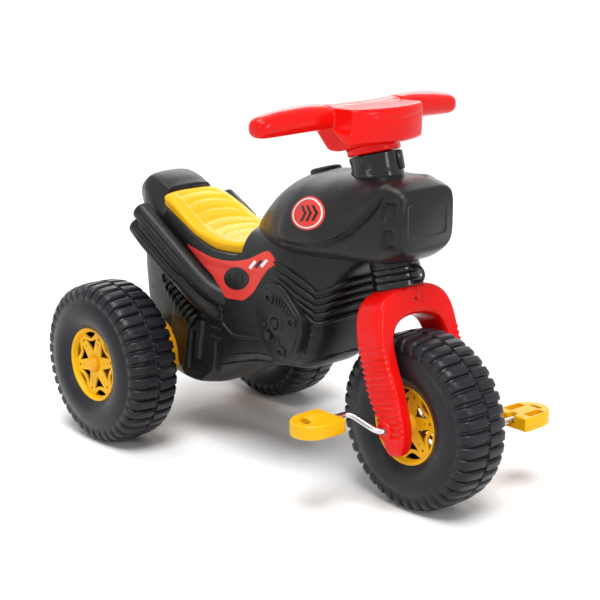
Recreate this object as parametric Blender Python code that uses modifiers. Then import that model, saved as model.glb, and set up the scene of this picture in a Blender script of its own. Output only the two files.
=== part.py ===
# Three-wheeled pedal motorcycle for a small child, as an assembly of separate pieces.
# Frame: metres, +X forward, +Y to the rider's left, +Z up, origin on the ground midway between the axles.
import math

import bmesh
import bpy
import numpy as np
from mathutils import Matrix, Vector

# Driving dimensions
WHEELBASE = 0.490
REAR_TRACK = 0.322
WHEEL_RADIUS = 0.120
RAKE = math.radians(16.0)
SEAT_GAP = 0.0003      # between pieces that touch
RUN_GAP = 0.0006       # between pieces that turn on each other
BODY_WALL = 0.0040
CUT_PAST = 0.010       # how far a cutter reaches past what it cuts
FLUSH_STEP = 0.0005    # keeps two nearly flush faces apart
REAR = -WHEELBASE / 2
FRONT = WHEELBASE / 2

# Tyres
TYRE_WIDTH = 0.090
TYRE_WALL = 0.0040
BEAD_RADIUS = 0.0525
BEAD_HALF_WIDTH = 0.031
SIDEWALL_RADIUS = 0.075
TYRE_SHOULDER = [(0.0165, 0.001, 0.0), (0.004, 0.015, 1.0)]   # drop from the crown, step in, share of a lug
TYRE_HOLLOW = (0.012, 0.007)
PARTING_HALF_WIDTH = 0.002
LUG_COUNT = 32
LUG_HEIGHT = 0.0035

# Rims and rear axle
RIM_LIP = 0.003
RIM_WALL = 0.003
RIM_PLUG_START = 0.010
RIM_FACE = 0.0290
RIM_DISH = 0.002
RIM_SPOKES = 6
RIM_STEPS = 18
WINDOW_TIP = 0.007
WINDOW_FOOT = 0.009
WINDOW_SPREAD = math.radians(16.0)
WINDOW_BOW = 1.04
HUB_RADIUS = 0.013
HUB_TIP_RADIUS = 0.0110
REAR_HUB_RISE = 0.001
DRUM_EDGE = 0.004
AXLE_RADIUS = 0.005
AXLE_BOSS_RADIUS = 0.017
AXLE_BOSS_HALF_WIDTH = 0.067
AXLE_BUSH_RADIUS = 0.009
AXLE_BUSH_LENGTH = 0.028
AXLE_FLANGE_RADIUS = 0.014
AXLE_FLANGE = 0.0036
AXLE_NUT_RADIUS = 0.0085
AXLE_NUT_LENGTH = 0.004
AXLE_TIP = 0.0062
CAP_RADIUS = 0.0127
CAP_WALL = 0.0022
CAP_HEIGHT = 0.0107
CAP_DOME = [(0.0, 0.0), (0.48, 0.0008), (0.84, 0.0032), (1.0, 0.0070)]   # share of its radius, drop
CAP_HOLLOW = [(1.0, 0.0062), (0.60, 0.0035), (0.0, 0.0028)]

# Cranks and pedals
CRANK_ROD_RADIUS = 0.004
CRANK_RADIUS = 0.058
CRANK_ANGLE = math.radians(168.0)
CRANK_BEND = 0.009
DRIVE_KEY_LENGTH = 0.024
DRIVE_KEY_WIDTH = 0.018
DRIVE_KEY_THICKNESS = 0.003
PEDAL_ARM_CLEARANCE = 0.026
PEDAL_LENGTH = 0.066
PEDAL_WIDTH = 0.057
PEDAL_THICKNESS = 0.025
PEDAL_DROP = 0.004       # its middle hangs this far below the spindle
PEDAL_EDGE = 0.003
PEDAL_SHAPE = [(0.84, 0.0), (1.0, 0.15), (1.0, 0.68), (0.77, 0.90), (0.35, 1.0)]   # shares across and along
PEDAL_NUT_PLACE = 0.050
PEDAL_NUT_RADIUS = 0.0065
PEDAL_NUT_THICKNESS = 0.0022
PEDAL_POCKET = (0.013, 0.030)
PEDAL_POCKET_START = 0.012
PEDAL_POCKET_RIB = 0.003
SPINDLE_TIP = 0.004
PEDAL_POCKET_DEPTH = 0.016

# Fork, in distances along the steering axis from the front axle
TYRE_SIDE_CLEARANCE = 0.004
TYRE_TOP_CLEARANCE = 0.018
FORK_OUTER = 0.073
FORK_FOOT_OUTER = 0.070
FORK_FOOT = 0.037
FORK_DEPTH = 0.050
FORK_CROWN = 0.040
FORK_SHOULDER = 0.046
FORK_FOOT_ROUND = 0.010
FORK_WALL = 0.004
FORK_EDGE = 0.006
FORK_BUSH_RADIUS = 0.0075
FORK_FLANGE_RADIUS = 0.011
FORK_FLANGE = 0.002
FORK_CORE_RADIUS = 0.014
FORK_PIN_DROP = 0.018

# Steering
COLUMN_RADIUS = 0.008
COLUMN_WALL = 0.002
COLUMN_FOOT_DROP = 0.030
PIN_RADIUS = 0.003
PIN_INSET = 0.001
HEADSET_RADIUS = 0.034
HEADSET_HEIGHT = 0.0275
HEADSET_GROOVE = 0.0025
HEADSET_SPIGOT_RADIUS = 0.014
HEADSET_SPIGOT_HEIGHT = 0.012
TOW_EYE_RADIUS = 0.0095
TOW_EYE_WIRE = 0.0024
HEAD_TUBE_RADIUS = 0.0335
COLLAR_RADIUS = 0.035
HEAD_LENGTH = 0.1119     # from the headset ring up to the collar's foot
COLLAR_HEIGHT = 0.0395
COLLAR_FLOOR = 0.012
COLLAR_LUG = (0.004, 0.009, 0.026)
COLLAR_LUG_ANGLE = math.radians(22.0)
SPIGOT_RADIUS = 0.020
SPIGOT_LENGTH = 0.0265
NECK_RADIUS = 0.036
NECK_HEIGHT = 0.014
COLUMN_GRIP = 0.038
COLUMN_HOLE_PAST = 0.020   # the column's hole goes on up into the handlebar's hollow

# Handlebar, in distances forward and up from the fork's crown; each grip from its root to its tip
GRIP_STATIONS = [
    (0.050, -0.079, 0.2240, 0.0200, 0.0150),
    (0.072, -0.079, 0.2245, 0.0200, 0.0165),
    (0.092, -0.079, 0.2250, 0.0200, 0.0170),
    (0.130, -0.081, 0.2245, 0.0190, 0.0150),
    (0.160, -0.083, 0.2225, 0.0170, 0.0128),
    (0.174, -0.083, 0.2215, 0.0135, 0.0105),
    (0.180, -0.083, 0.2210, 0.0070, 0.0055),
]
GRIP_WALL = 0.0035
GRIP_ROUNDNESS = 2.6
GRIP_STEPS = 12
BLOCK_HALF_WIDTH = 0.065
BLOCK_FRONT = -0.023
BLOCK_BULGE = 0.017
BLOCK_SHARES = (-1.0, -0.7, -0.35, 0.0, 0.35, 0.7, 1.0)
BLOCK_FACE = [(-0.004, 0.239), (0.0, 0.235), (-0.001, 0.195), (-0.006, 0.191)]   # from its own front
BLOCK_BACK = [(-0.046, 0.197), (-0.063, 0.209), (-0.102, 0.217), (-0.102, 0.237)]
NECK_HALF_WIDTH = 0.045
NECK_SIDE = [(-0.117, 0.201), (-0.090, 0.176), (-0.072, 0.177), (-0.046, 0.185),
             (-0.031, 0.190), (-0.031, 0.221), (-0.111, 0.221)]

# Body, heights from the fork's crown: place, bottom, widest, top, half width, roundness above and below
FRAME_STATIONS = [
    (REAR - 0.080, 0.042, 0.057, 0.073, 0.041, 4.0, 3.0),
    (REAR - 0.071, 0.027, 0.052, 0.082, 0.045, 4.0, 3.0),
    (REAR - 0.060, -0.023, 0.024, 0.085, 0.050, 4.0, 3.6),
    (REAR - 0.052, -0.101, -0.026, 0.084, 0.055, 3.8, 4.0),
    (REAR - 0.037, -0.173, -0.056, 0.081, 0.060, 3.6, 4.0),
    (REAR - 0.010, -0.207, -0.071, 0.073, 0.065, 3.6, 4.0),
    (REAR + 0.045, -0.217, -0.081, 0.065, 0.071, 3.6, 4.0),
    (REAR + 0.095, -0.211, -0.086, 0.059, 0.074, 3.6, 3.6),
    (REAR + 0.135, -0.193, -0.081, 0.051, 0.076, 3.6, 3.4),
    (REAR + 0.175, -0.170, -0.071, 0.049, 0.077, 3.6, 3.4),
    (REAR + 0.215, -0.151, -0.061, 0.054, 0.078, 3.6, 3.6),
    (FRONT - 0.225, -0.143, -0.056, 0.072, 0.078, 3.6, 3.8),
    (FRONT - 0.185, -0.138, -0.051, 0.084, 0.075, 3.6, 3.8),
    (FRONT - 0.160, -0.124, -0.046, 0.084, 0.070, 3.4, 3.6),
    (FRONT - 0.140, -0.089, -0.031, 0.084, 0.064, 3.4, 3.4),
    (FRONT - 0.125, -0.035, -0.006, 0.084, 0.059, 3.4, 3.2),
    (FRONT - 0.110, 0.0, 0.024, 0.079, 0.053, 3.2, 3.2),
    (FRONT - 0.097, 0.017, 0.034, 0.071, 0.044, 3.0, 3.0),
    (FRONT - 0.085, 0.029, 0.043, 0.059, 0.030, 2.6, 2.6),
]
TANK_STATIONS = [
    (FRONT - 0.307, 0.029, 0.040, 0.053, 0.026, 2.0, 2.4),
    (FRONT - 0.293, 0.021, 0.044, 0.067, 0.038, 2.0, 2.4),
    (FRONT - 0.269, 0.017, 0.049, 0.092, 0.053, 2.0, 2.4),
    (FRONT - 0.245, 0.017, 0.052, 0.113, 0.065, 2.0, 2.4),
    (FRONT - 0.215, 0.018, 0.057, 0.130, 0.077, 2.0, 2.4),
    (FRONT - 0.175, 0.021, 0.062, 0.143, 0.085, 2.0, 2.4),
    (FRONT - 0.135, 0.026, 0.069, 0.1475, 0.086, 2.2, 2.5),
    (FRONT - 0.095, 0.030, 0.077, 0.1495, 0.079, 2.4, 2.6),
    (FRONT - 0.065, 0.033, 0.084, 0.149, 0.069, 2.8, 2.8),
    (FRONT - 0.040, 0.036, 0.090, 0.146, 0.058, 3.4, 3.0),
    (FRONT - 0.020, 0.042, 0.095, 0.140, 0.052, 3.8, 3.4),
    (FRONT - 0.006, 0.054, 0.098, 0.133, 0.049, 4.2, 3.8),
    (FRONT + 0.0005, 0.066, 0.099, 0.127, 0.045, 4.2, 4.0),
]
SECTION_POINTS = 16
LOFT_STEP = 0.040
FRAME_HOLLOW = (REAR - 0.066, FRONT - 0.105)
TANK_HOLLOW = (FRONT - 0.275, FRONT - 0.0065)

# Seat, each line in shares of its length from the rear: height from the fork's crown, or half width
SEAT_REAR = REAR - 0.0125
SEAT_FRONT = FRONT - 0.2905
SEAT_SHELF = [(0.0, 0.0520), (0.26, 0.0335), (0.48, 0.0165), (0.70, 0.0065), (0.92, 0.0085), (1.0, 0.0145)]
SEAT_CROWN = [(0.0, 0.0685), (0.12, 0.0630), (0.25, 0.0510), (0.40, 0.0355),
              (0.52, 0.0285), (0.75, 0.0245), (0.89, 0.0275), (1.0, 0.0355)]
SEAT_HALF_WIDTH = [(0.0, 0.0400), (0.04, 0.0480), (0.11, 0.0515), (0.27, 0.0545), (0.48, 0.0565),
                   (0.70, 0.0560), (0.86, 0.0510), (0.96, 0.0420), (1.0, 0.0330)]
SEAT_PLACES = (0.0, 0.04, 0.12, 0.24, 0.37, 0.50, 0.62, 0.74, 0.86, 0.95, 1.0)
SEAT_WALL = 0.0035
SEAT_WIDEST = 0.4
SEAT_ROUNDNESS = (3.0, 8.0)
SEAT_OPENING = 0.004
RECESS_HALF_WIDTH = 0.120
RECESS_TOP = 0.213

# Details on the body, heights from the fork's crown
EXHAUST_RADIUS = 0.0145
EXHAUST_OFFSET = 0.0815
EXHAUST_LINE = [(REAR - 0.061, 0.018, 0.0), (REAR + 0.140, -0.073, 0.0),
                (REAR + 0.160, -0.082, 0.004), (REAR + 0.183, -0.092, 0.018)]
EXHAUST_OVERLAP = 0.0015
EXHAUST_TRIM = (0.008, 0.028)   # how far the upper and the lower pipe start along their line
EXHAUST_MOUTH = 0.0105
EXHAUST_MOUTH_DEPTH = 0.012
ENGINE_COVER = [(-0.259, -0.007), (-0.227, 0.007), (-0.187, -0.015), (-0.149, -0.053),
                (-0.155, -0.093), (-0.193, -0.121), (-0.237, -0.111), (-0.265, -0.065)]
ENGINE_COVER_ROOT = 0.060
ENGINE_COVER_FACE = 0.0845
ENGINE_COVER_EDGE = 0.003
HEADLIGHT_HEIGHT = 0.100
HEADLIGHT_SIZE = (0.0035, 0.068, 0.042)
HEADLIGHT_SINK = 0.003
HEADLIGHT_EDGE = 0.001
FILLER_PLACE = FRONT - 0.193
FILLER_RADIUS = 0.022
FILLER_HEIGHT = 0.009
FILLER_SINK = 0.003
FILLER_DOME = [(0.0, 0.0), (0.72, 0.0), (0.93, 0.0015), (1.0, 0.004)]
FILLER_STEPS = 20
DRAIN_PLACE = REAR + 0.225
DRAIN_RADIUS = 0.006

# Finishes: colour, roughness, metallic
BLACK = ((0.028, 0.028, 0.030), 0.38, 0.0)
GLOSS_BLACK = ((0.012, 0.012, 0.014), 0.15, 0.0)
TYRE_BLACK = ((0.022, 0.022, 0.024), 0.45, 0.0)
RED = ((0.80, 0.020, 0.012), 0.25, 0.0)
YELLOW = ((0.90, 0.52, 0.020), 0.35, 0.0)
ORANGE = ((0.88, 0.36, 0.010), 0.35, 0.0)
STEEL = ((0.62, 0.62, 0.64), 0.25, 1.0)
NYLON = ((0.70, 0.69, 0.66), 0.50, 0.0)

PI = math.pi
FACING_RIGHT = (PI / 2, 0.0, 0.0)
FACING_LEFT = (PI / 2, 0.0, PI)
SIDES = (("right", -1.0, FACING_RIGHT), ("left", 1.0, FACING_LEFT))


def clear_scene():
    for item in list(bpy.data.objects):
        bpy.data.objects.remove(item, do_unlink=True)


clear_scene()
PARTS = bpy.data.collections.new("pedal_motorcycle")
CUTTERS = bpy.data.collections.new("cutters")
bpy.context.scene.collection.children.link(PARTS)
bpy.context.scene.collection.children.link(CUTTERS)


def finish(name, look):
    colour, roughness, metallic = look
    material = bpy.data.materials.new(name + "_finish")
    material.use_nodes = True
    shader = material.node_tree.nodes["Principled BSDF"]
    shader.inputs["Base Color"].default_value = (*colour, 1.0)
    shader.inputs["Roughness"].default_value = roughness
    shader.inputs["Metallic"].default_value = metallic
    return material


def add(collection, name, data, parent, rotation, location):
    item = bpy.data.objects.new(name, data)
    item.location = location
    item.rotation_euler = rotation
    item.parent = parent
    collection.objects.link(item)
    return item


def carrier(name, location, rotation=(0.0, 0.0, 0.0), parent=None):
    return add(PARTS, name, None, parent, rotation, location)


def part(name, mesh, look, parent=None, rotation=(0.0, 0.0, 0.0), location=(0.0, 0.0, 0.0)):
    item = add(PARTS, name, mesh, parent, rotation, location)
    if not mesh.materials:
        mesh.materials.append(finish(name, look))
    return item


def tool(name, mesh, parent=None, rotation=(0.0, 0.0, 0.0), location=(0.0, 0.0, 0.0)):
    item = add(CUTTERS, name, mesh, parent, rotation, location)
    item.hide_render = True
    item.display_type = "WIRE"
    return item


def combine(item, operation, *others):
    for other in others:
        modifier = item.modifiers.new(operation.lower() + "_" + other.name, "BOOLEAN")
        modifier.operation = operation
        modifier.object = other
        modifier.solver = "EXACT"


def round_edges(item, width, segments=2, angle=40.0):
    modifier = item.modifiers.new("rounded", "BEVEL")
    modifier.width = width
    modifier.segments = segments
    modifier.limit_method = "ANGLE"
    modifier.angle_limit = math.radians(angle)


def smooth_shade(mesh, angle=35.0):
    mesh.shade_smooth()
    mesh.set_sharp_from_angle(angle=math.radians(angle))


def mesh_of(name, build):
    mesh = bpy.data.meshes.new(name)
    body = bmesh.new()
    build(body)
    bmesh.ops.recalc_face_normals(body, faces=body.faces[:])
    body.to_mesh(mesh)
    body.free()
    smooth_shade(mesh)
    return mesh


def box_mesh(name, low, high):
    """A box between two opposite corners."""
    def build(body):
        bmesh.ops.create_cube(body, size=1.0)
        size = [b - a for a, b in zip(low, high)]
        centre = [(a + b) / 2 for a, b in zip(low, high)]
        bmesh.ops.scale(body, vec=size, verts=body.verts[:])
        bmesh.ops.translate(body, vec=centre, verts=body.verts[:])
    return mesh_of(name, build)


def rod_mesh(name, radius, low, high, steps=12, turn=0.0):
    """A round rod along Z between two heights; a turn keeps its edges off those of a piece it crosses."""
    def build(body):
        bmesh.ops.create_cone(body, cap_ends=True, segments=steps, radius1=radius,
                              radius2=radius, depth=high - low, matrix=Matrix.Rotation(turn, 4, "Z"))
        bmesh.ops.translate(body, vec=(0.0, 0.0, (low + high) / 2), verts=body.verts[:])
    return mesh_of(name, build)


def welded_mesh(name, data):
    """A curve's evaluated shape as a mesh of its own, with its loose caps welded on."""
    item = bpy.data.objects.new(name, data)
    bpy.context.scene.collection.objects.link(item)
    shape = item.evaluated_get(bpy.context.evaluated_depsgraph_get())
    mesh = bpy.data.meshes.new_from_object(shape)
    mesh.name = name
    bpy.data.objects.remove(item)

    def build(body):
        body.from_mesh(mesh)
        bmesh.ops.remove_doubles(body, verts=body.verts[:], dist=0.00001)
    return mesh_of(name, build)


def pin_mesh(name, radius, reach):
    return rod_mesh(name, radius, -reach, reach, 12, PI / 24)


def turned_mesh(name, profile, steps=12):
    """A profile of (radius, height) points turned round Z; it closes on itself or ends on the axis."""
    outline = bpy.data.meshes.new(name + "_profile")
    edges = [(i, i + 1) for i in range(len(profile) - 1)]
    if profile[0][0] > 0.0:
        edges.append((len(profile) - 1, 0))
    outline.from_pydata([(radius, 0.0, height) for radius, height in profile], edges, [])
    item = bpy.data.objects.new(name + "_profile", outline)
    bpy.context.scene.collection.objects.link(item)
    screw = item.modifiers.new("turned", "SCREW")
    screw.steps = steps
    screw.render_steps = steps
    screw.use_merge_vertices = True
    screw.merge_threshold = 0.00001
    shape = item.evaluated_get(bpy.context.evaluated_depsgraph_get())
    mesh = bpy.data.meshes.new_from_object(shape)
    mesh.name = name
    bpy.data.objects.remove(item)
    smooth_shade(mesh)
    return mesh


def plate_mesh(name, outline, thickness):
    """A flat outline in X and Y, raised half its thickness to each side."""
    curve = bpy.data.curves.new(name, "CURVE")
    curve.dimensions = "2D"
    curve.fill_mode = "BOTH"
    curve.extrude = thickness / 2
    spline = curve.splines.new("POLY")
    spline.points.add(len(outline) - 1)
    for slot, point in zip(spline.points, outline):
        slot.co = (*point, 0.0, 1.0)
    spline.use_cyclic_u = True
    return welded_mesh(name, curve)


def tube_mesh(name, points, radius, resolution=2):
    """A round rod along a line of points, with filled caps."""
    curve = bpy.data.curves.new(name, "CURVE")
    curve.dimensions = "3D"
    curve.bevel_depth = radius
    curve.bevel_resolution = resolution
    curve.use_fill_caps = True
    spline = curve.splines.new("POLY")
    spline.points.add(len(points) - 1)
    for slot, point in zip(spline.points, points):
        slot.co = (*point, 1.0)
    return welded_mesh(name, curve)


def loft_mesh(name, sections):
    """Rings with equal point counts, joined one to the next and closed at both ends."""
    def build(body):
        rings = [[body.verts.new(point) for point in section] for section in sections]
        count = len(rings[0])
        for first, second in zip(rings, rings[1:]):
            for i in range(count):
                j = (i + 1) % count
                body.faces.new((first[i], first[j], second[j], second[i]))
        body.faces.new(rings[0][::-1])
        body.faces.new(rings[-1])
    return mesh_of(name, build)


def arc(centre, radius, start, end, steps):
    """Points on an arc in a plane, angles in degrees, both ends included."""
    angles = [math.radians(start + (end - start) * i / steps) for i in range(steps + 1)]
    return [(centre[0] + radius * math.cos(a), centre[1] + radius * math.sin(a)) for a in angles]


def smooth_line(points, place):
    """A curve through (place, value) points that never overshoots them."""
    places = np.array([p[0] for p in points])
    values = np.array([p[1] for p in points])
    width = np.diff(places)
    slope = np.diff(values) / width
    tangent = np.concatenate(([slope[0]], np.zeros(len(slope) - 1), [slope[-1]]))
    for i in range(1, len(slope)):
        before, after = slope[i - 1], slope[i]
        if before * after > 0.0:
            share = 2.0 * width[i] + width[i - 1], width[i] + 2.0 * width[i - 1]
            tangent[i] = sum(share) / (share[0] / before + share[1] / after)
    place = min(max(place, places[0]), places[-1])
    i = min(int(np.searchsorted(places, place, side="right")) - 1, len(width) - 1)
    t = (place - places[i]) / width[i]
    level = values[i] * (1.0 + 2.0 * t) * (1.0 - t) ** 2 + values[i + 1] * t ** 2 * (3.0 - 2.0 * t)
    lean = tangent[i] * t * (1.0 - t) ** 2 - tangent[i + 1] * t ** 2 * (1.0 - t)
    return float(level + width[i] * lean)


def oval(half_width, half_height, roundness, angle):
    """A point on a flat-sided oval."""
    across = math.copysign(abs(math.cos(angle)) ** (2.0 / roundness), math.cos(angle))
    up = math.copysign(abs(math.sin(angle)) ** (2.0 / roundness), math.sin(angle))
    return half_width * across, half_height * up


def body_section(x, bottom, middle, top, half_width, upper, lower):
    """A ring across the body, an oval above its widest height and another below it."""
    ring = []
    for i in range(SECTION_POINTS):
        angle = 2.0 * PI * (i + 0.5) / SECTION_POINTS
        above = i < SECTION_POINTS // 2
        reach = top - middle if above else middle - bottom
        y, z = oval(half_width, reach, upper if above else lower, angle)
        ring.append((x, y, DATUM + middle + z))
    return ring


def body_row(stations, x):
    return [smooth_line([(row[0], row[column]) for row in stations], x) for column in range(1, 7)]


def stations_between(stations, first, last):
    """The given stations between two places, with more wherever they lie far apart."""
    places = [first]
    for place in [row[0] for row in stations if first < row[0] < last] + [last]:
        start = places[-1]
        count = max(1, math.ceil((place - start) / LOFT_STEP))
        places += [start + (place - start) * (i + 1) / count for i in range(count)]
    return places


def hull_mesh(name, stations):
    places = stations_between(stations, stations[0][0], stations[-1][0])
    return loft_mesh(name, [body_section(x, *body_row(stations, x)) for x in places])


def seat_line(line, x):
    return smooth_line(line, (x - SEAT_REAR) / (SEAT_FRONT - SEAT_REAR))


def hollow_mesh(name, stations, first, last):
    """The space inside a hull, one wall in from its faces and from the shelf under the seat."""
    sections = []
    for x in stations_between(stations, first, last):
        near = [body_row(stations, x + step) for step in (-BODY_WALL, 0.0, BODY_WALL)]
        bottom = max(row[0] for row in near) + BODY_WALL
        top = min(row[2] for row in near) - BODY_WALL
        half_width = min(row[3] for row in near) - BODY_WALL
        if SEAT_REAR - BODY_WALL < x < SEAT_FRONT + BODY_WALL:
            shelf = min(seat_line(SEAT_SHELF, x + step) for step in (-BODY_WALL, 0.0, BODY_WALL))
            top = min(top, shelf - BODY_WALL)
        middle = min(max(near[1][1], bottom + BODY_WALL), top - BODY_WALL)
        sections.append(body_section(x, bottom, middle, top, half_width, near[1][4], near[1][5]))
    return loft_mesh(name, sections)


# Carriers: the steering axis leans back by the rake and passes through the front axle
FRONT_AXLE = (FRONT, 0.0, WHEEL_RADIUS)
ARCH_TOP = WHEEL_RADIUS + TYRE_TOP_CLEARANCE
CROWN_TOP = ARCH_TOP + FORK_CROWN
DATUM = WHEEL_RADIUS + CROWN_TOP * math.cos(RAKE)   # the height of the fork's crown
STEERING = carrier("steering_axis", FRONT_AXLE, (0.0, -RAKE, 0.0))
STEERING_LEVEL = carrier("steering_level", (0.0, 0.0, CROWN_TOP), (0.0, RAKE, 0.0), STEERING)
FRONT_WHEEL = carrier("front_wheel_axis", FRONT_AXLE)
REAR_AXLE = carrier("rear_axle_line", (REAR, 0.0, WHEEL_RADIUS))


def tyre_mesh():
    """A hollow tyre, open at the rim, with two rows of lugs half a pitch apart."""
    half = TYRE_WIDTH / 2
    crown = WHEEL_RADIUS - LUG_HEIGHT
    outer = [(BEAD_RADIUS, BEAD_HALF_WIDTH, 0.0), (SIDEWALL_RADIUS, half, 0.0),
             *((crown - drop, half - step, lug) for drop, step, lug in TYRE_SHOULDER),
             (crown, PARTING_HALF_WIDTH, 1.0)]
    drop, step = TYRE_HOLLOW
    inner = [(BEAD_RADIUS, BEAD_HALF_WIDTH - TYRE_WALL), (crown - drop, half - step - TYRE_WALL)]
    rows = [(radius, y, lug, 1) for radius, y, lug in outer]
    rows += [(radius, -y, lug, 0) for radius, y, lug in outer[::-1]]
    rows += [(radius, -y, 0.0, 0) for radius, y in inner]
    rows += [(radius, y, 0.0, 1) for radius, y in inner[::-1]]
    columns = LUG_COUNT * 2

    def build(body):
        rings = []
        for column in range(columns):
            angle = 2.0 * PI * column / columns - PI / 2
            reach = [radius + LUG_HEIGHT * lug * ((column + side) % 2) for radius, _, lug, side in rows]
            ring = [(r * math.cos(angle), r * math.sin(angle), row[1]) for r, row in zip(reach, rows)]
            rings.append([body.verts.new(point) for point in ring])
        for i, first in enumerate(rings):
            second = rings[(i + 1) % columns]
            for a in range(len(rows)):
                b = (a + 1) % len(rows)
                body.faces.new((first[a], first[b], second[b], second[a]))
    return mesh_of("tyre", build)


LIP_SLOPE = (TYRE_WIDTH / 2 - BEAD_HALF_WIDTH) / (SIDEWALL_RADIUS - BEAD_RADIUS)
LIP_FOOT = BEAD_HALF_WIDTH + SEAT_GAP
LIP_EDGE = LIP_FOOT + RIM_LIP * LIP_SLOPE + SEAT_GAP
PLUG_RADIUS = BEAD_RADIUS - SEAT_GAP
FORK_INNER = TYRE_WIDTH / 2 + TYRE_SIDE_CLEARANCE
FRONT_HUB_TOP = FORK_INNER - RUN_GAP
REAR_HUB_TOP = RIM_FACE + REAR_HUB_RISE
DRUM_DEPTH = REAR_TRACK / 2 - AXLE_BOSS_HALF_WIDTH - AXLE_FLANGE - SEAT_GAP - RUN_GAP


def rim_profile(bore, hub_foot, hub_top):
    """A lip on the bead, a plug inside the tyre, a spoked disc and a hub."""
    lip = BEAD_RADIUS + RIM_LIP
    inside = PLUG_RADIUS - RIM_WALL
    return [(lip, LIP_EDGE + RIM_WALL / 2), (lip, LIP_EDGE), (PLUG_RADIUS, LIP_FOOT),
            (PLUG_RADIUS, RIM_PLUG_START), (inside, RIM_PLUG_START), (inside, RIM_FACE - RIM_WALL),
            (HUB_RADIUS, RIM_FACE - RIM_WALL), (HUB_RADIUS, hub_foot), (bore, hub_foot), (bore, hub_top),
            (HUB_TIP_RADIUS, hub_top), (HUB_RADIUS + RIM_WALL, RIM_FACE), (inside, RIM_FACE + RIM_DISH)]


def drum_profile(bore, hub_foot):
    """A rear wheel's inner half: the same lip and plug, and a drum that reaches in to the frame."""
    lip = BEAD_RADIUS + RIM_LIP
    inside = PLUG_RADIUS - RIM_WALL
    face = DRUM_DEPTH - RIM_WALL
    return [(PLUG_RADIUS - DRUM_EDGE, DRUM_DEPTH), (PLUG_RADIUS, DRUM_DEPTH - DRUM_EDGE),
            (PLUG_RADIUS, LIP_EDGE + RIM_WALL), (lip, LIP_EDGE + RIM_WALL), (lip, LIP_EDGE),
            (PLUG_RADIUS, LIP_FOOT), (PLUG_RADIUS, RIM_PLUG_START), (inside, RIM_PLUG_START),
            (inside, face), (HUB_RADIUS, face), (HUB_RADIUS, hub_foot), (bore, hub_foot), (bore, DRUM_DEPTH)]


def windows_mesh(name):
    """Prisms for the triangular windows between a rim's spokes, each pointing at the hub."""
    tip, foot = HUB_RADIUS + WINDOW_TIP, PLUG_RADIUS - WINDOW_FOOT

    def build(body):
        for k in range(RIM_SPOKES):
            middle = 2.0 * PI * (k + 0.5) / RIM_SPOKES
            corners = [(tip, middle), (foot, middle - WINDOW_SPREAD), (foot * WINDOW_BOW, middle),
                       (foot, middle + WINDOW_SPREAD)]
            lower = [body.verts.new((r * math.cos(a), r * math.sin(a), RIM_PLUG_START)) for r, a in corners]
            face = body.faces.new(lower)
            raised = bmesh.ops.extrude_face_region(body, geom=[face], use_keep_orig=True)
            upper = [v for v in raised["geom"] if isinstance(v, bmesh.types.BMVert)]
            bmesh.ops.translate(body, vec=(0.0, 0.0, RIM_FACE), verts=upper)
    return mesh_of(name, build)


def fit_windows(rim):
    combine(rim, "DIFFERENCE", tool(rim.name + "_windows", WINDOWS, rim.parent, rim.rotation_euler))


WINDOWS = windows_mesh("rim_windows")
TYRE = tyre_mesh()


def add_front_wheel():
    part("tyre_front", TYRE, TYRE_BLACK, FRONT_WHEEL, FACING_RIGHT)
    foot = DRIVE_KEY_LENGTH / 4
    profile = rim_profile(CRANK_ROD_RADIUS + RUN_GAP, foot, FRONT_HUB_TOP)
    rim_mesh = turned_mesh("rim_front", profile, RIM_STEPS)
    half_width = DRIVE_KEY_WIDTH / 2 + SEAT_GAP
    half_height = DRIVE_KEY_THICKNESS / 2 + SEAT_GAP
    slot_mesh = box_mesh("drive_slot", (-half_width, -half_height, 0.0),
                         (half_width, half_height, DRIVE_KEY_LENGTH / 2 + SEAT_GAP))
    for side, _, rotation in SIDES:
        rim = part("rim_front_" + side, rim_mesh, YELLOW, FRONT_WHEEL, rotation)
        fit_windows(rim)
        combine(rim, "DIFFERENCE", tool("drive_slot_" + side, slot_mesh, FRONT_WHEEL, rotation))


def add_rear_wheels():
    bore = AXLE_RADIUS + RUN_GAP
    foot = SEAT_GAP
    outer_mesh = turned_mesh("rim_rear_outer", rim_profile(bore, foot, REAR_HUB_TOP), RIM_STEPS)
    inner_mesh = turned_mesh("rim_rear_inner", drum_profile(bore, foot), RIM_STEPS)
    cap_low = REAR_HUB_TOP + SEAT_GAP
    cap_top = REAR_HUB_TOP + CAP_HEIGHT
    inside = CAP_RADIUS - CAP_WALL
    cap_mesh = turned_mesh("hub_cap", [
        *((CAP_RADIUS * share, cap_top - drop) for share, drop in CAP_DOME), (CAP_RADIUS, cap_low),
        (inside, cap_low), *((inside * share, cap_top - drop) for share, drop in CAP_HOLLOW)])
    for side, sign, rotation in SIDES:
        place = (0.0, sign * REAR_TRACK / 2, 0.0)
        middle = carrier("rear_" + side + "_axis", place, (0.0, 0.0, 0.0), REAR_AXLE)
        inward = FACING_LEFT if side == "right" else FACING_RIGHT
        part("tyre_rear_" + side, TYRE, TYRE_BLACK, middle, rotation)
        fit_windows(part("rim_rear_" + side + "_outer", outer_mesh, YELLOW, middle, rotation))
        part("rim_rear_" + side + "_inner", inner_mesh, ORANGE, middle, inward)
        part("hub_cap_rear_" + side, cap_mesh, ORANGE, middle, rotation)


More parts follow.
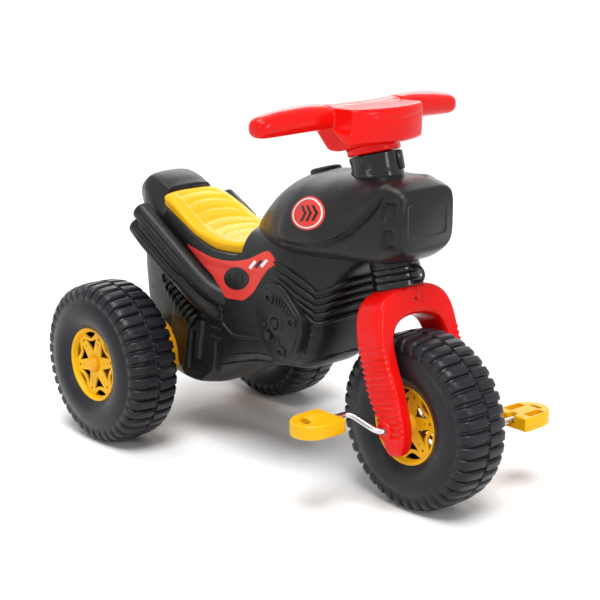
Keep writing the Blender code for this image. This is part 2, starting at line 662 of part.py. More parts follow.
def add_rear_axle():
    end = REAR_TRACK / 2 + REAR_HUB_TOP + AXLE_TIP
    part("rear_axle", rod_mesh("rear_axle", AXLE_RADIUS, -end, end), STEEL, REAR_AXLE, FACING_RIGHT)
    flange_top = AXLE_BOSS_HALF_WIDTH + SEAT_GAP + AXLE_FLANGE
    flange_foot = AXLE_BOSS_HALF_WIDTH + SEAT_GAP
    bore = AXLE_RADIUS + SEAT_GAP
    bush_mesh = turned_mesh("axle_bush", [
        (AXLE_FLANGE_RADIUS, flange_top), (AXLE_FLANGE_RADIUS, flange_foot), (AXLE_BUSH_RADIUS, flange_foot),
        (AXLE_BUSH_RADIUS, flange_foot - AXLE_BUSH_LENGTH), (bore, flange_foot - AXLE_BUSH_LENGTH),
        (bore, flange_top)])
    nut_low = REAR_TRACK / 2 + REAR_HUB_TOP + RUN_GAP
    nut_high = nut_low + AXLE_NUT_LENGTH
    nut_mesh = turned_mesh("axle_nut", [(AXLE_NUT_RADIUS, nut_high), (AXLE_NUT_RADIUS, nut_low),
                                        (bore, nut_low), (bore, nut_high)])
    for side, _, rotation in SIDES:
        part("axle_bush_" + side, bush_mesh, NYLON, REAR_AXLE, rotation)
        part("axle_nut_" + side, nut_mesh, STEEL, REAR_AXLE, rotation)


CRANK_PLANE = FORK_FOOT_OUTER + SEAT_GAP + FORK_FLANGE + CRANK_BEND
PEDAL_START = CRANK_PLANE + CRANK_ROD_RADIUS + PEDAL_ARM_CLEARANCE
CRANK_TIP = (CRANK_RADIUS * math.cos(CRANK_ANGLE), CRANK_RADIUS * math.sin(CRANK_ANGLE))
SPINDLE_END = PEDAL_START + PEDAL_NUT_PLACE + PEDAL_NUT_THICKNESS + SPINDLE_TIP


def bent_rod(corners, radius, steps):
    """The corners of a line, each square corner between its ends rounded to an arc."""
    points = [Vector(corners[0])]
    for before, corner, after in zip(corners, corners[1:], corners[2:]):
        inward = (Vector(corner) - Vector(before)).normalized()
        outward = (Vector(after) - Vector(corner)).normalized()
        centre = Vector(corner) - inward * radius + outward * radius
        for i in range(steps + 1):
            turn = PI / 2 * i / steps
            points.append(centre + (inward * math.sin(turn) - outward * math.cos(turn)) * radius)
    return points + [Vector(corners[-1])]


def add_crank():
    x, z = CRANK_TIP
    corners = [(x, -SPINDLE_END, z), (x, -CRANK_PLANE, z), (0.0, -CRANK_PLANE, 0.0),
               (0.0, CRANK_PLANE, 0.0), (-x, CRANK_PLANE, -z), (-x, SPINDLE_END, -z)]
    crank_mesh = tube_mesh("crank", bent_rod(corners, CRANK_BEND, 4), CRANK_ROD_RADIUS)
    crank = part("crank", crank_mesh, STEEL, FRONT_WHEEL)
    half = (DRIVE_KEY_WIDTH / 2, DRIVE_KEY_LENGTH / 2, DRIVE_KEY_THICKNESS / 2)
    key = tool("drive_key", box_mesh("drive_key", [-h for h in half], half), FRONT_WHEEL)
    combine(crank, "UNION", key)


def pedal_outline():
    """The pedal from above: a straight inner end, parallel sides and a rounded outer end."""
    half = [(across * PEDAL_WIDTH / 2, along * PEDAL_LENGTH) for across, along in PEDAL_SHAPE]
    return half + [(-x, y) for x, y in half[::-1]]


def add_pedals():
    pocket_top = PEDAL_POCKET_DEPTH - PEDAL_THICKNESS / 2 - PEDAL_DROP
    bore_mesh = rod_mesh("pedal_bore", CRANK_ROD_RADIUS + RUN_GAP, -CUT_PAST, PEDAL_LENGTH + CUT_PAST)
    slot_side = PEDAL_NUT_RADIUS + 2 * RUN_GAP
    slot_mesh = box_mesh("pedal_slot", (-slot_side, -PEDAL_THICKNESS, PEDAL_NUT_PLACE - RUN_GAP),
                         (slot_side, slot_side, PEDAL_NUT_PLACE + PEDAL_NUT_THICKNESS + RUN_GAP))
    pocket_width, pocket_length = PEDAL_POCKET
    nut_mesh = turned_mesh("pedal_nut", [
        (PEDAL_NUT_RADIUS, PEDAL_NUT_PLACE + PEDAL_NUT_THICKNESS), (PEDAL_NUT_RADIUS, PEDAL_NUT_PLACE),
        (CRANK_ROD_RADIUS + SEAT_GAP, PEDAL_NUT_PLACE),
        (CRANK_ROD_RADIUS + SEAT_GAP, PEDAL_NUT_PLACE + PEDAL_NUT_THICKNESS)])
    for side, sign, rotation in SIDES:
        place = (-sign * CRANK_TIP[0], sign * PEDAL_START, -sign * CRANK_TIP[1])
        axis = carrier("pedal_" + side + "_axis", place, (0.0, 0.0, 0.0), FRONT_WHEEL)
        mesh = plate_mesh("pedal_" + side, pedal_outline(), PEDAL_THICKNESS)
        flat = carrier("pedal_" + side + "_frame", (0.0, 0.0, 0.0), rotation, axis)
        pedal = part("pedal_" + side, mesh, YELLOW, flat, (-PI / 2, PI, 0.0), (0.0, -PEDAL_DROP, 0.0))
        round_edges(pedal, PEDAL_EDGE, 2, 50.0)
        combine(pedal, "DIFFERENCE", tool("pedal_bore_" + side, bore_mesh, flat),
                tool("pedal_slot_" + side, slot_mesh, flat))
        for name, where in (("front", 1.0), ("rear", -1.0)):
            middle = where * (slot_side + PEDAL_POCKET_RIB + pocket_width / 2)
            low = (middle - pocket_width / 2, -PEDAL_THICKNESS, PEDAL_POCKET_START)
            high = (middle + pocket_width / 2, pocket_top, PEDAL_POCKET_START + pocket_length)
            pocket_mesh = box_mesh("pedal_pocket", low, high)
            combine(pedal, "DIFFERENCE", tool("pedal_pocket_" + name + "_" + side, pocket_mesh, flat))
        part("pedal_nut_" + side, nut_mesh, STEEL, flat)


HEADSET_LOW = CROWN_TOP + RUN_GAP
HEADSET_TOP = HEADSET_LOW + HEADSET_HEIGHT
HEAD_TUBE_LOW = HEADSET_TOP + SEAT_GAP
COLLAR_SINK = HEADSET_TOP + HEAD_LENGTH
COLLAR_TOP = COLLAR_SINK + COLLAR_HEIGHT
NECK_LOW = COLLAR_TOP + RUN_GAP
COLUMN_LOW = CROWN_TOP - COLUMN_FOOT_DROP
COLUMN_HIGH = NECK_LOW + COLUMN_GRIP
FORK_PIN_HEIGHT = CROWN_TOP - FORK_PIN_DROP
SPIGOT_LOW = NECK_LOW - SPIGOT_LENGTH
SPIGOT_PIN_HEIGHT = SPIGOT_LOW + SPIGOT_LENGTH / 2
LYING_AHEAD = (0.0, PI / 2, 0.0)
FACING_AHEAD = (PI / 2, 0.0, PI / 2)


def fork_outline(inset):
    """The fork from ahead, or the space inside it: half from the crown to the arch, then its mirror."""
    shoulder = FORK_SHOULDER - inset
    foot = FORK_FOOT_ROUND - inset
    inner = FORK_INNER + inset
    foot_centre = (FORK_FOOT_OUTER - FORK_FOOT_ROUND, FORK_FOOT_ROUND - FORK_FOOT)
    inner_round = FORK_FOOT_ROUND / 2
    inner_centre = (inner + inner_round, inset - FORK_FOOT + inner_round)
    half = [(0.0, CROWN_TOP - inset)]
    half += arc((FORK_OUTER - FORK_SHOULDER, CROWN_TOP - FORK_SHOULDER), shoulder, 90.0, 0.0, 5)
    half.append((FORK_OUTER - inset, ARCH_TOP - FORK_INNER))
    half += arc(foot_centre, foot, 0.0, -90.0, 3)
    half += arc(inner_centre, inner_round, -90.0, -180.0, 2)
    half += arc((0.0, ARCH_TOP - FORK_INNER), inner, 0.0, 90.0, 6)
    return half + [(-y, s) for y, s in half[-2:0:-1]]


def add_fork():
    fork = part("fork", plate_mesh("fork", fork_outline(0.0), FORK_DEPTH), RED, STEERING, FACING_AHEAD)
    round_edges(fork, FORK_EDGE, 1)
    space_mesh = plate_mesh("fork_space", fork_outline(FORK_WALL), FORK_DEPTH - 2 * FORK_WALL)
    space = tool("fork_space", space_mesh, STEERING, FACING_AHEAD)
    core_mesh = rod_mesh("fork_core", FORK_CORE_RADIUS, ARCH_TOP - FORK_WALL, CROWN_TOP + FORK_WALL)
    boss_mesh = rod_mesh("fork_boss", FORK_BUSH_RADIUS + FORK_WALL, -FORK_OUTER, FORK_OUTER)
    combine(space, "DIFFERENCE", tool("fork_core", core_mesh, STEERING),
            tool("fork_boss", boss_mesh, STEERING, FACING_RIGHT))
    column_mesh = rod_mesh("fork_column_hole", COLUMN_RADIUS + SEAT_GAP, COLUMN_LOW - SEAT_GAP,
                           CROWN_TOP + FORK_WALL)
    hole, spot = FORK_BUSH_RADIUS + SEAT_GAP, FORK_FLANGE_RADIUS + RUN_GAP
    bush_mesh = turned_mesh("fork_bush_hole", [
        (0.0, FORK_OUTER), (spot, FORK_OUTER), (spot, FORK_FOOT_OUTER), (hole, FORK_FOOT_OUTER),
        (hole, -FORK_FOOT_OUTER), (spot, -FORK_FOOT_OUTER), (spot, -FORK_OUTER), (0.0, -FORK_OUTER)])
    hole_mesh = pin_mesh("fork_pin_hole", PIN_RADIUS + SEAT_GAP, FORK_DEPTH)
    combine(fork, "DIFFERENCE", space, tool("fork_column_hole", column_mesh, STEERING),
            tool("fork_bush_hole", bush_mesh, STEERING, FACING_RIGHT),
            tool("fork_pin_hole", hole_mesh, STEERING, LYING_AHEAD, (0.0, 0.0, FORK_PIN_HEIGHT)))


def add_fork_fittings():
    low = FORK_INNER + SEAT_GAP
    shoulder = FORK_FOOT_OUTER + SEAT_GAP
    top = shoulder + FORK_FLANGE
    bore = CRANK_ROD_RADIUS + RUN_GAP
    bush_mesh = turned_mesh("fork_bush", [
        (FORK_FLANGE_RADIUS, top), (FORK_FLANGE_RADIUS, shoulder), (FORK_BUSH_RADIUS, shoulder),
        (FORK_BUSH_RADIUS, low), (bore, low), (bore, top)])
    for side, _, rotation in SIDES:
        part("fork_bush_" + side, bush_mesh, NYLON, STEERING, rotation)
    mesh = pin_mesh("fork_pin", PIN_RADIUS, FORK_DEPTH / 2 - PIN_INSET)
    part("fork_pin", mesh, STEEL, STEERING, LYING_AHEAD, (0.0, 0.0, FORK_PIN_HEIGHT))


def add_steering_column():
    inside = COLUMN_RADIUS - COLUMN_WALL
    column = part("steering_column", turned_mesh("steering_column", [
        (COLUMN_RADIUS, COLUMN_HIGH), (COLUMN_RADIUS, COLUMN_LOW),
        (inside, COLUMN_LOW), (inside, COLUMN_HIGH)]), STEEL, STEERING)
    hole_mesh = pin_mesh("column_pin_hole", PIN_RADIUS + SEAT_GAP, 2 * COLUMN_RADIUS)
    combine(column, "DIFFERENCE",
            tool("column_pin_hole_low", hole_mesh, STEERING, LYING_AHEAD, (0.0, 0.0, FORK_PIN_HEIGHT)),
            tool("column_pin_hole_high", hole_mesh, STEERING, FACING_RIGHT, (0.0, 0.0, SPIGOT_PIN_HEIGHT)))


def add_headset_ring():
    """The lower bearing: three ribs, a spigot up into the head tube and a tow eye in front."""
    bore = COLUMN_RADIUS + RUN_GAP
    spigot_top = HEADSET_TOP + HEADSET_SPIGOT_HEIGHT
    profile = [(HEADSET_SPIGOT_RADIUS, spigot_top), (HEADSET_SPIGOT_RADIUS, HEADSET_TOP)]
    rib = HEADSET_HEIGHT / 3
    for k in range(3):
        top = HEADSET_TOP - k * rib
        step = FLUSH_STEP if k > 0 else 0.0
        profile += [(HEADSET_RADIUS, top - step), (HEADSET_RADIUS, top - rib + HEADSET_GROOVE)]
        if k < 2:
            profile.append((HEADSET_RADIUS - HEADSET_GROOVE, top - rib + HEADSET_GROOVE / 2))
    profile += [(HEADSET_RADIUS, HEADSET_LOW), (bore, HEADSET_LOW), (bore, spigot_top)]
    ring = part("headset_ring", turned_mesh("headset_ring", profile, 24), BLACK, STEERING)
    start = HEADSET_RADIUS - 2 * TOW_EYE_WIRE
    middle = (HEADSET_LOW + HEADSET_TOP) / 2
    line = arc((HEADSET_RADIUS, middle), TOW_EYE_RADIUS, -90.0, 90.0, 6)
    points = [(start, line[0][1])] + line + [(start, line[-1][1])]
    eye_mesh = tube_mesh("tow_eye", [(t, 0.0, s) for t, s in points], TOW_EYE_WIRE, 1)
    combine(ring, "UNION", tool("tow_eye", eye_mesh, STEERING))


def add_steering_collar():
    """The upper bearing: a sleeve sunk in the tank, open on top for the handlebar's spigot."""
    socket = SPIGOT_RADIUS + RUN_GAP
    bore = COLUMN_RADIUS + RUN_GAP
    floor = COLLAR_SINK + COLLAR_FLOOR
    collar = part("steering_collar", turned_mesh("steering_collar", [
        (COLLAR_RADIUS, COLLAR_TOP), (COLLAR_RADIUS, COLLAR_SINK), (bore, COLLAR_SINK),
        (bore, floor), (socket, floor), (socket, COLLAR_TOP)], 24), GLOSS_BLACK, STEERING)
    proud, width, height = COLLAR_LUG
    lug_mesh = box_mesh("collar_lug", (COLLAR_RADIUS - proud, -width / 2, COLLAR_TOP - height),
                        (COLLAR_RADIUS + proud, width / 2, COLLAR_TOP - FLUSH_STEP))
    combine(collar, "UNION", tool("collar_lug", lug_mesh, STEERING, (0.0, 0.0, COLLAR_LUG_ANGLE)))


def grip_sections(inset):
    """Rings from the right grip's tip to the left grip's, each a flat-sided oval in X and Z."""
    rows = [(-y, x, z, a, b) for y, x, z, a, b in GRIP_STATIONS[::-1]] + GRIP_STATIONS
    sections = []
    for y, x, z, depth, height in rows:
        ring = [oval(depth - inset, height - inset, GRIP_ROUNDNESS, 2.0 * PI * i / GRIP_STEPS)
                for i in range(GRIP_STEPS)]
        sections.append([(x + across, y, z + up) for across, up in ring])
    return sections


def block_sections():
    """The block between the grips: its side view, with a front face that bulges in the middle."""
    sections = []
    for share in BLOCK_SHARES:
        front = BLOCK_FRONT + BLOCK_BULGE * (1.0 - share ** 2)
        side = [(front + x, z) for x, z in BLOCK_FACE] + BLOCK_BACK
        sections.append([(x, share * BLOCK_HALF_WIDTH, z) for x, z in side])
    return sections


def add_handlebar():
    handlebar = part("handlebar", loft_mesh("handlebar", grip_sections(0.0)), RED, STEERING_LEVEL)
    block = tool("bar_block", loft_mesh("bar_block", block_sections()), STEERING_LEVEL)
    neck_mesh = plate_mesh("bar_neck", NECK_SIDE, 2 * NECK_HALF_WIDTH)
    neck = tool("bar_neck", neck_mesh, STEERING_LEVEL, FACING_RIGHT)
    spigot = tool("bar_spigot", turned_mesh("bar_spigot", [
        (0.0, NECK_LOW + NECK_HEIGHT), (NECK_RADIUS, NECK_LOW + NECK_HEIGHT), (NECK_RADIUS, NECK_LOW),
        (SPIGOT_RADIUS, NECK_LOW), (SPIGOT_RADIUS, SPIGOT_LOW), (0.0, SPIGOT_LOW)], 24), STEERING)
    combine(handlebar, "UNION", block, neck, spigot)
    space = tool("bar_space", loft_mesh("bar_space", grip_sections(GRIP_WALL)[1:-1]), STEERING_LEVEL)
    hole_mesh = rod_mesh("bar_column_hole", COLUMN_RADIUS + SEAT_GAP, SPIGOT_LOW - CUT_PAST,
                         COLUMN_HIGH + COLUMN_HOLE_PAST)
    cross_mesh = pin_mesh("bar_pin_hole", PIN_RADIUS + SEAT_GAP, 2 * SPIGOT_RADIUS)
    combine(handlebar, "DIFFERENCE", space,
            tool("bar_pin_hole", cross_mesh, STEERING, FACING_RIGHT, (0.0, 0.0, SPIGOT_PIN_HEIGHT)),
            tool("bar_column_hole", hole_mesh, STEERING))
    mesh = pin_mesh("handlebar_pin", PIN_RADIUS, SPIGOT_RADIUS - SEAT_GAP)
    part("handlebar_pin", mesh, STEEL, STEERING, FACING_RIGHT, (0.0, 0.0, SPIGOT_PIN_HEIGHT))


def seat_rings(inset, sink):
    """Rings of the seat from rear to front, resting on the shelf; a sink opens the underside."""
    rings = []
    above, below = SEAT_ROUNDNESS
    for share in SEAT_PLACES:
        x = SEAT_REAR + inset + (SEAT_FRONT - SEAT_REAR - 2 * inset) * share
        shelf, crown = seat_line(SEAT_SHELF, x), seat_line(SEAT_CROWN, x)
        middle = shelf + (crown - shelf) * SEAT_WIDEST
        half_width = seat_line(SEAT_HALF_WIDTH, x) - inset
        low, high = shelf + SEAT_GAP - sink, crown - inset
        rings.append(body_section(x, low, middle, high, half_width, above, below))
    return rings


def add_seat():
    seat = part("seat", loft_mesh("seat", seat_rings(0.0, 0.0)), YELLOW)
    space_mesh = loft_mesh("seat_space", seat_rings(SEAT_WALL, SEAT_OPENING))
    combine(seat, "DIFFERENCE", tool("seat_space", space_mesh))


def recess_mesh():
    """All that lies above the seat's shelf, from the tail's edge to the back of the tank."""
    rings = []
    places = [SEAT_REAR + (SEAT_FRONT - SEAT_REAR) * share for share in SEAT_PLACES]
    for x in [SEAT_REAR - SEAT_GAP] + places + [SEAT_FRONT + SEAT_GAP]:
        low = DATUM + seat_line(SEAT_SHELF, x)
        high = DATUM + RECESS_TOP
        rings.append([(x, -RECESS_HALF_WIDTH, low), (x, RECESS_HALF_WIDTH, low),
                      (x, RECESS_HALF_WIDTH, high), (x, -RECESS_HALF_WIDTH, high)])
    return loft_mesh("seat_recess", rings)


def add_exhausts(body):
    """Two stacked pipes on each side, with open tails, that dive into the body at the front."""
    (x0, z0, _), (x1, z1, _) = EXHAUST_LINE[:2]
    along = Vector((x1 - x0, 0.0, z1 - z0)).normalized()
    above = Vector((-along.z, 0.0, along.x))
    lean = math.atan2(along.x, along.z)
    for side, sign, _ in SIDES:
        for level, up, trim in (("upper", 1.0, EXHAUST_TRIM[0]), ("lower", -1.0, EXHAUST_TRIM[1])):
            name = "exhaust_" + side + "_" + level
            lift = above * up * (EXHAUST_RADIUS - EXHAUST_OVERLAP)
            line = [Vector((x, sign * (EXHAUST_OFFSET - tuck), DATUM + z)) + lift
                    for x, z, tuck in EXHAUST_LINE]
            line[0] += along * trim
            combine(body, "UNION", tool(name, tube_mesh(name, line, EXHAUST_RADIUS)))
            mouth_mesh = rod_mesh(name + "_mouth", EXHAUST_MOUTH, -EXHAUST_MOUTH_DEPTH, EXHAUST_MOUTH_DEPTH)
            combine(body, "DIFFERENCE", tool(name + "_mouth", mouth_mesh, None, (0.0, lean, 0.0), line[0]))


def add_engine_covers(body):
    outline = [(FRONT + x, DATUM + z) for x, z in ENGINE_COVER]
    depth = ENGINE_COVER_FACE - ENGINE_COVER_ROOT
    middle = (ENGINE_COVER_FACE + ENGINE_COVER_ROOT) / 2
    cover_mesh = plate_mesh("engine_cover", outline, depth)
    for side, sign, _ in SIDES:
        cover = tool("engine_cover_" + side, cover_mesh, None, FACING_RIGHT, (0.0, sign * middle, 0.0))
        round_edges(cover, ENGINE_COVER_EDGE)
        combine(body, "UNION", cover)


def filler_frame():
    """Where the filler cap sits on the tank, leaning with the slope under it."""
    step = FILLER_RADIUS
    heights = [body_row(TANK_STATIONS, FILLER_PLACE + side * step)[2] for side in (-1.0, 1.0)]
    lean = -math.atan2(heights[1] - heights[0], 2 * step)
    return (0.0, lean, 0.0), (FILLER_PLACE, 0.0, DATUM + sum(heights) / 2)


def add_filler_cap(body):
    rotation, place = filler_frame()
    hole_mesh = rod_mesh("filler_hole", FILLER_RADIUS + SEAT_GAP, -FILLER_SINK, FILLER_HEIGHT, FILLER_STEPS)
    combine(body, "DIFFERENCE", tool("filler_hole", hole_mesh, None, rotation, place))
    low = SEAT_GAP - FILLER_SINK
    high = FILLER_HEIGHT - FILLER_SINK
    cap_mesh = turned_mesh("filler_cap", [
        *((FILLER_RADIUS * share, high - drop) for share, drop in FILLER_DOME),
        (FILLER_RADIUS, low), (0.0, low)], FILLER_STEPS)
    part("filler_cap", cap_mesh, BLACK, None, rotation, place)


def add_headlight(body):
    """A flat panel sunk in the nose's front face."""
    depth, width, height = HEADLIGHT_SIZE
    face = TANK_STATIONS[-1][0]
    back = face - HEADLIGHT_SINK
    middle = DATUM + HEADLIGHT_HEIGHT
    side, half = width / 2 + SEAT_GAP, height / 2 + SEAT_GAP
    pocket_mesh = box_mesh("headlight_pocket", (back - SEAT_GAP, -side, middle - half),
                           (face + CUT_PAST, side, middle + half))
    combine(body, "DIFFERENCE", tool("headlight_pocket", pocket_mesh))
    panel_mesh = box_mesh("headlight_panel", (back, -width / 2, middle - height / 2),
                          (back + depth, width / 2, middle + height / 2))
    round_edges(part("headlight_panel", panel_mesh, BLACK), HEADLIGHT_EDGE, 1)


def bore_body(body):
    """The steering head's bores, the rear axle's bore and the drain hole in the belly."""
    pocket, pocket_floor = COLLAR_RADIUS + SEAT_GAP, COLLAR_SINK - SEAT_GAP
    column = COLUMN_RADIUS + RUN_GAP
    spigot, spigot_top = HEADSET_SPIGOT_RADIUS + SEAT_GAP, HEADSET_TOP + HEADSET_SPIGOT_HEIGHT + SEAT_GAP
    head = turned_mesh("head_bore", [
        (0.0, COLLAR_TOP), (pocket, COLLAR_TOP), (pocket, pocket_floor), (column, pocket_floor),
        (column, spigot_top), (spigot, spigot_top), (spigot, HEADSET_LOW), (0.0, HEADSET_LOW)], 24)
    axle = rod_mesh("axle_bore", AXLE_BUSH_RADIUS + SEAT_GAP, -REAR_TRACK / 2, REAR_TRACK / 2)
    drain = rod_mesh("drain_hole", DRAIN_RADIUS, 0.0, WHEEL_RADIUS)
    combine(body, "DIFFERENCE", tool("head_bore", head, STEERING),
            tool("axle_bore", axle, REAR_AXLE, FACING_RIGHT),
            tool("drain_hole", drain, None, (0.0, 0.0, 0.0), (DRAIN_PLACE, 0.0, WHEEL_RADIUS / 2)))


def add_body():
    """The blow-moulded body: frame and tank in one hollow shell, closed round the steering and axle bores."""
    body = part("body_shell", hull_mesh("body_shell", FRAME_STATIONS), BLACK)
    tank = tool("tank", hull_mesh("tank", TANK_STATIONS))
    head = rod_mesh("head_tube", HEAD_TUBE_RADIUS, HEAD_TUBE_LOW, COLLAR_SINK, 24)
    boss = rod_mesh("axle_boss", AXLE_BOSS_RADIUS, -AXLE_BOSS_HALF_WIDTH, AXLE_BOSS_HALF_WIDTH)
    combine(body, "UNION", tank, tool("head_tube", head, STEERING),
            tool("axle_boss", boss, REAR_AXLE, FACING_RIGHT))
    add_engine_covers(body)
    add_exhausts(body)
    combine(body, "DIFFERENCE", tool("seat_recess", recess_mesh()))
    head_core = rod_mesh("head_core", COLLAR_RADIUS + BODY_WALL, HEADSET_LOW, COLLAR_TOP, 24)
    axle_core = rod_mesh("axle_core", AXLE_BOSS_RADIUS - RUN_GAP, -REAR_TRACK / 2, REAR_TRACK / 2)
    cores = [tool("head_core", head_core, STEERING), tool("axle_core", axle_core, REAR_AXLE, FACING_RIGHT)]
    space = tool("body_space", hollow_mesh("body_space", FRAME_STATIONS, *FRAME_HOLLOW))
    combine(space, "UNION", tool("tank_space", hollow_mesh("tank_space", TANK_STATIONS, *TANK_HOLLOW)))
    combine(space, "DIFFERENCE", *cores)
    combine(body, "DIFFERENCE", space)
    add_filler_cap(body)
    add_headlight(body)
    bore_body(body)


add_body()
add_seat()
add_rear_axle()
add_rear_wheels()
add_headset_ring()
add_steering_collar()
add_fork()
add_fork_fittings()
add_steering_column()
add_handlebar()
add_front_wheel()
add_crank()
add_pedals()
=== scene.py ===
# A child's three-wheeled pedal motorcycle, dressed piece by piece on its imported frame.
import math

import bmesh
import bpy
import numpy as np
from mathutils import Matrix, Vector
from mathutils.bvhtree import BVHTree


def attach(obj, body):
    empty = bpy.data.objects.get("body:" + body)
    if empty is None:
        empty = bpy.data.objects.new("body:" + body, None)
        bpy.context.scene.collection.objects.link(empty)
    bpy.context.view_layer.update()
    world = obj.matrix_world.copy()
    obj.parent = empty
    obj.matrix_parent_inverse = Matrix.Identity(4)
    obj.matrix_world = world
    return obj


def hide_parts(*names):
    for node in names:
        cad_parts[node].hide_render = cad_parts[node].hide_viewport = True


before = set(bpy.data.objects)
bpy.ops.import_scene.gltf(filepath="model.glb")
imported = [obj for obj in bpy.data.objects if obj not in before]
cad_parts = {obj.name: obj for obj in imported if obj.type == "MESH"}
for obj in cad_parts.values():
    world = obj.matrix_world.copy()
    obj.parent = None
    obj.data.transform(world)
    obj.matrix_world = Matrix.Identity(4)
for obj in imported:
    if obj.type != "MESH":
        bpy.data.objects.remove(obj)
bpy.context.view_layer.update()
scene = bpy.context.scene


# Body shell: one hollow blow-moulding in satin black polyethylene, frame, tank and nose together.
# Its two halves come from one mould, so both sides carry the same relief. It is lofted here from
# cross-sections and then cut out for the saddle.
FRONT, REAR = 0.245, -0.245
AXLE_HEIGHT = 0.120
RAKE = math.radians(16.0)
CROWN = 0.178
DATUM = AXLE_HEIGHT + CROWN * math.cos(RAKE)
RIGHT, LEFT = -1.0, 1.0
SIDES = (("right", RIGHT), ("left", LEFT))


class Value:
    """A shader socket that takes part in plain arithmetic."""

    def __init__(self, tree, socket):
        self.tree = tree
        self.socket = socket

    def calc(self, operation, *others):
        node = self.tree.nodes.new("ShaderNodeMath")
        node.operation = operation
        for slot, item in zip(node.inputs, (self, *others)):
            if isinstance(item, Value):
                self.tree.links.new(item.socket, slot)
            else:
                slot.default_value = item
        return Value(self.tree, node.outputs[0])

    def constant(self, number):
        node = self.tree.nodes.new("ShaderNodeValue")
        node.outputs[0].default_value = number
        return Value(self.tree, node.outputs[0])

    def __add__(self, other):
        return self.calc("ADD", other)

    def __sub__(self, other):
        return self.calc("SUBTRACT", other)

    def __mul__(self, other):
        return self.calc("MULTIPLY", other)

    def __rsub__(self, other):
        return self.constant(other) - self


class Look:
    """A node material, built one node at a time."""

    def __init__(self, name):
        self.material = bpy.data.materials.new(name)
        self.material.use_nodes = True
        self.tree = self.material.node_tree
        self.shader = self.tree.nodes["Principled BSDF"]

    def node(self, kind, settings, inputs):
        made = self.tree.nodes.new(kind)
        for key, value in settings.items():
            setattr(made, key, value)
        for key, value in inputs.items():
            self.put(made.inputs[key], value)
        return made

    def put(self, slot, value):
        if isinstance(value, Value):
            self.tree.links.new(value.socket, slot)
        elif isinstance(value, bpy.types.NodeSocket):
            self.tree.links.new(value, slot)
        else:
            slot.default_value = value

    def places(self):
        return self.node("ShaderNodeTexCoord", {}, {}).outputs["Object"]

    def noise(self, scale, detail=3.0, roughness=0.5):
        made = self.node("ShaderNodeTexNoise", {}, {"Vector": self.places(), "Scale": scale,
                                                     "Detail": detail, "Roughness": roughness})
        return Value(self.tree, made.outputs["Fac"])

    def blend(self, factor, first, second):
        made = self.node("ShaderNodeMix", {"data_type": "RGBA"}, {0: factor, 6: first, 7: second})
        return made.outputs[2]

    def spread(self, value, low, high):
        made = self.node("ShaderNodeMapRange", {}, {"Value": value, "From Min": 0.3, "From Max": 0.7,
                                                    "To Min": low, "To Max": high})
        return Value(self.tree, made.outputs[0])

    def finish(self, **inputs):
        for key, value in inputs.items():
            self.put(self.shader.inputs[key.replace("_", " ")], value)
        return self.material

    def bump(self, height, strength, distance):
        made = self.node("ShaderNodeBump", {}, {"Height": height, "Strength": strength, "Distance": distance})
        return made.outputs["Normal"]


def rgb(red, green, blue):
    return (red, green, blue, 1.0)


def plastic(name, light, dark, rough, grain, shine=0.30, polished=None):
    """Moulded plastic: a slow drift of colour and sheen, and a fine grain from the mould's surface."""
    look = Look(name)
    patches = look.noise(9.0, 4.0)
    rub = look.noise(60.0, 5.0, 0.6)
    scale, height = grain
    skin = look.noise(scale, 2.0) + look.noise(26.0, 2.0) * 0.35
    sheen = look.spread(rub, *rough)
    if polished:
        along = look.node("ShaderNodeSeparateXYZ", {}, {"Vector": look.places()}).outputs["X"]
        ahead = look.node("ShaderNodeMapRange", {}, {"Value": along, "From Min": polished[0],
                                                     "From Max": polished[1]})
        ahead = Value(look.tree, ahead.outputs[0])
        sheen = sheen * (1.0 - ahead) + ahead * 0.13
    return look.finish(Base_Color=look.blend(look.spread(patches, 0.0, 1.0), light, dark),
                       Roughness=sheen, Normal=look.bump(skin, 0.35, height),
                       Specular_IOR_Level=shine)


BLACK = plastic("satin_black_plastic", rgb(0.014, 0.014, 0.015), rgb(0.009, 0.009, 0.010),
                (0.25, 0.35), (1500.0, 0.00050), 0.22, (0.206, 0.211))


def piece(name, mesh, material, slot, body, *nodes):
    """A finished piece that rides on a body and, where named, stands for nodes of the frame."""
    item = bpy.data.objects.new(name, mesh)
    scene.collection.objects.link(item)
    mesh.materials.clear()
    mesh.materials.append(material)
    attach(item, body)
    if nodes:
        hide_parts(*nodes)
    return item


def grid_mesh(name, rings, angle=38.0, ends=True):
    """Rings with equal point counts, joined one to the next; points that meet are welded."""
    mesh = bpy.data.meshes.new(name)
    body = bmesh.new()
    rows = [[body.verts.new(point) for point in ring] for ring in rings]
    count = len(rows[0])
    for first, second in zip(rows, rows[1:]):
        for i in range(count):
            j = (i + 1) % count
            body.faces.new((first[i], first[j], second[j], second[i]))
    if ends:
        body.faces.new(rows[0][::-1])
        body.faces.new(rows[-1])
    return settle(mesh, body, angle)


def settle(mesh, body, angle=38.0):
    bmesh.ops.remove_doubles(body, verts=body.verts[:], dist=0.000002)
    bmesh.ops.recalc_face_normals(body, faces=body.faces[:])
    body.to_mesh(mesh)
    body.free()
    mesh.shade_smooth()
    mesh.set_sharp_from_angle(angle=math.radians(angle))
    return mesh


def baked(item, angle=38.0):
    """The object's evaluated shape as a plain mesh; the object itself goes."""
    shape = item.evaluated_get(bpy.context.evaluated_depsgraph_get())
    mesh = bpy.data.meshes.new_from_object(shape)
    mesh.name = item.name
    bpy.data.objects.remove(item)
    body = bmesh.new()
    body.from_mesh(mesh)
    return settle(mesh, body, angle)


def raw(shape):
    """A helper object for a mesh or a curve, which baking takes away again."""
    item = bpy.data.objects.new(shape.name, shape)
    scene.collection.objects.link(item)
    return item


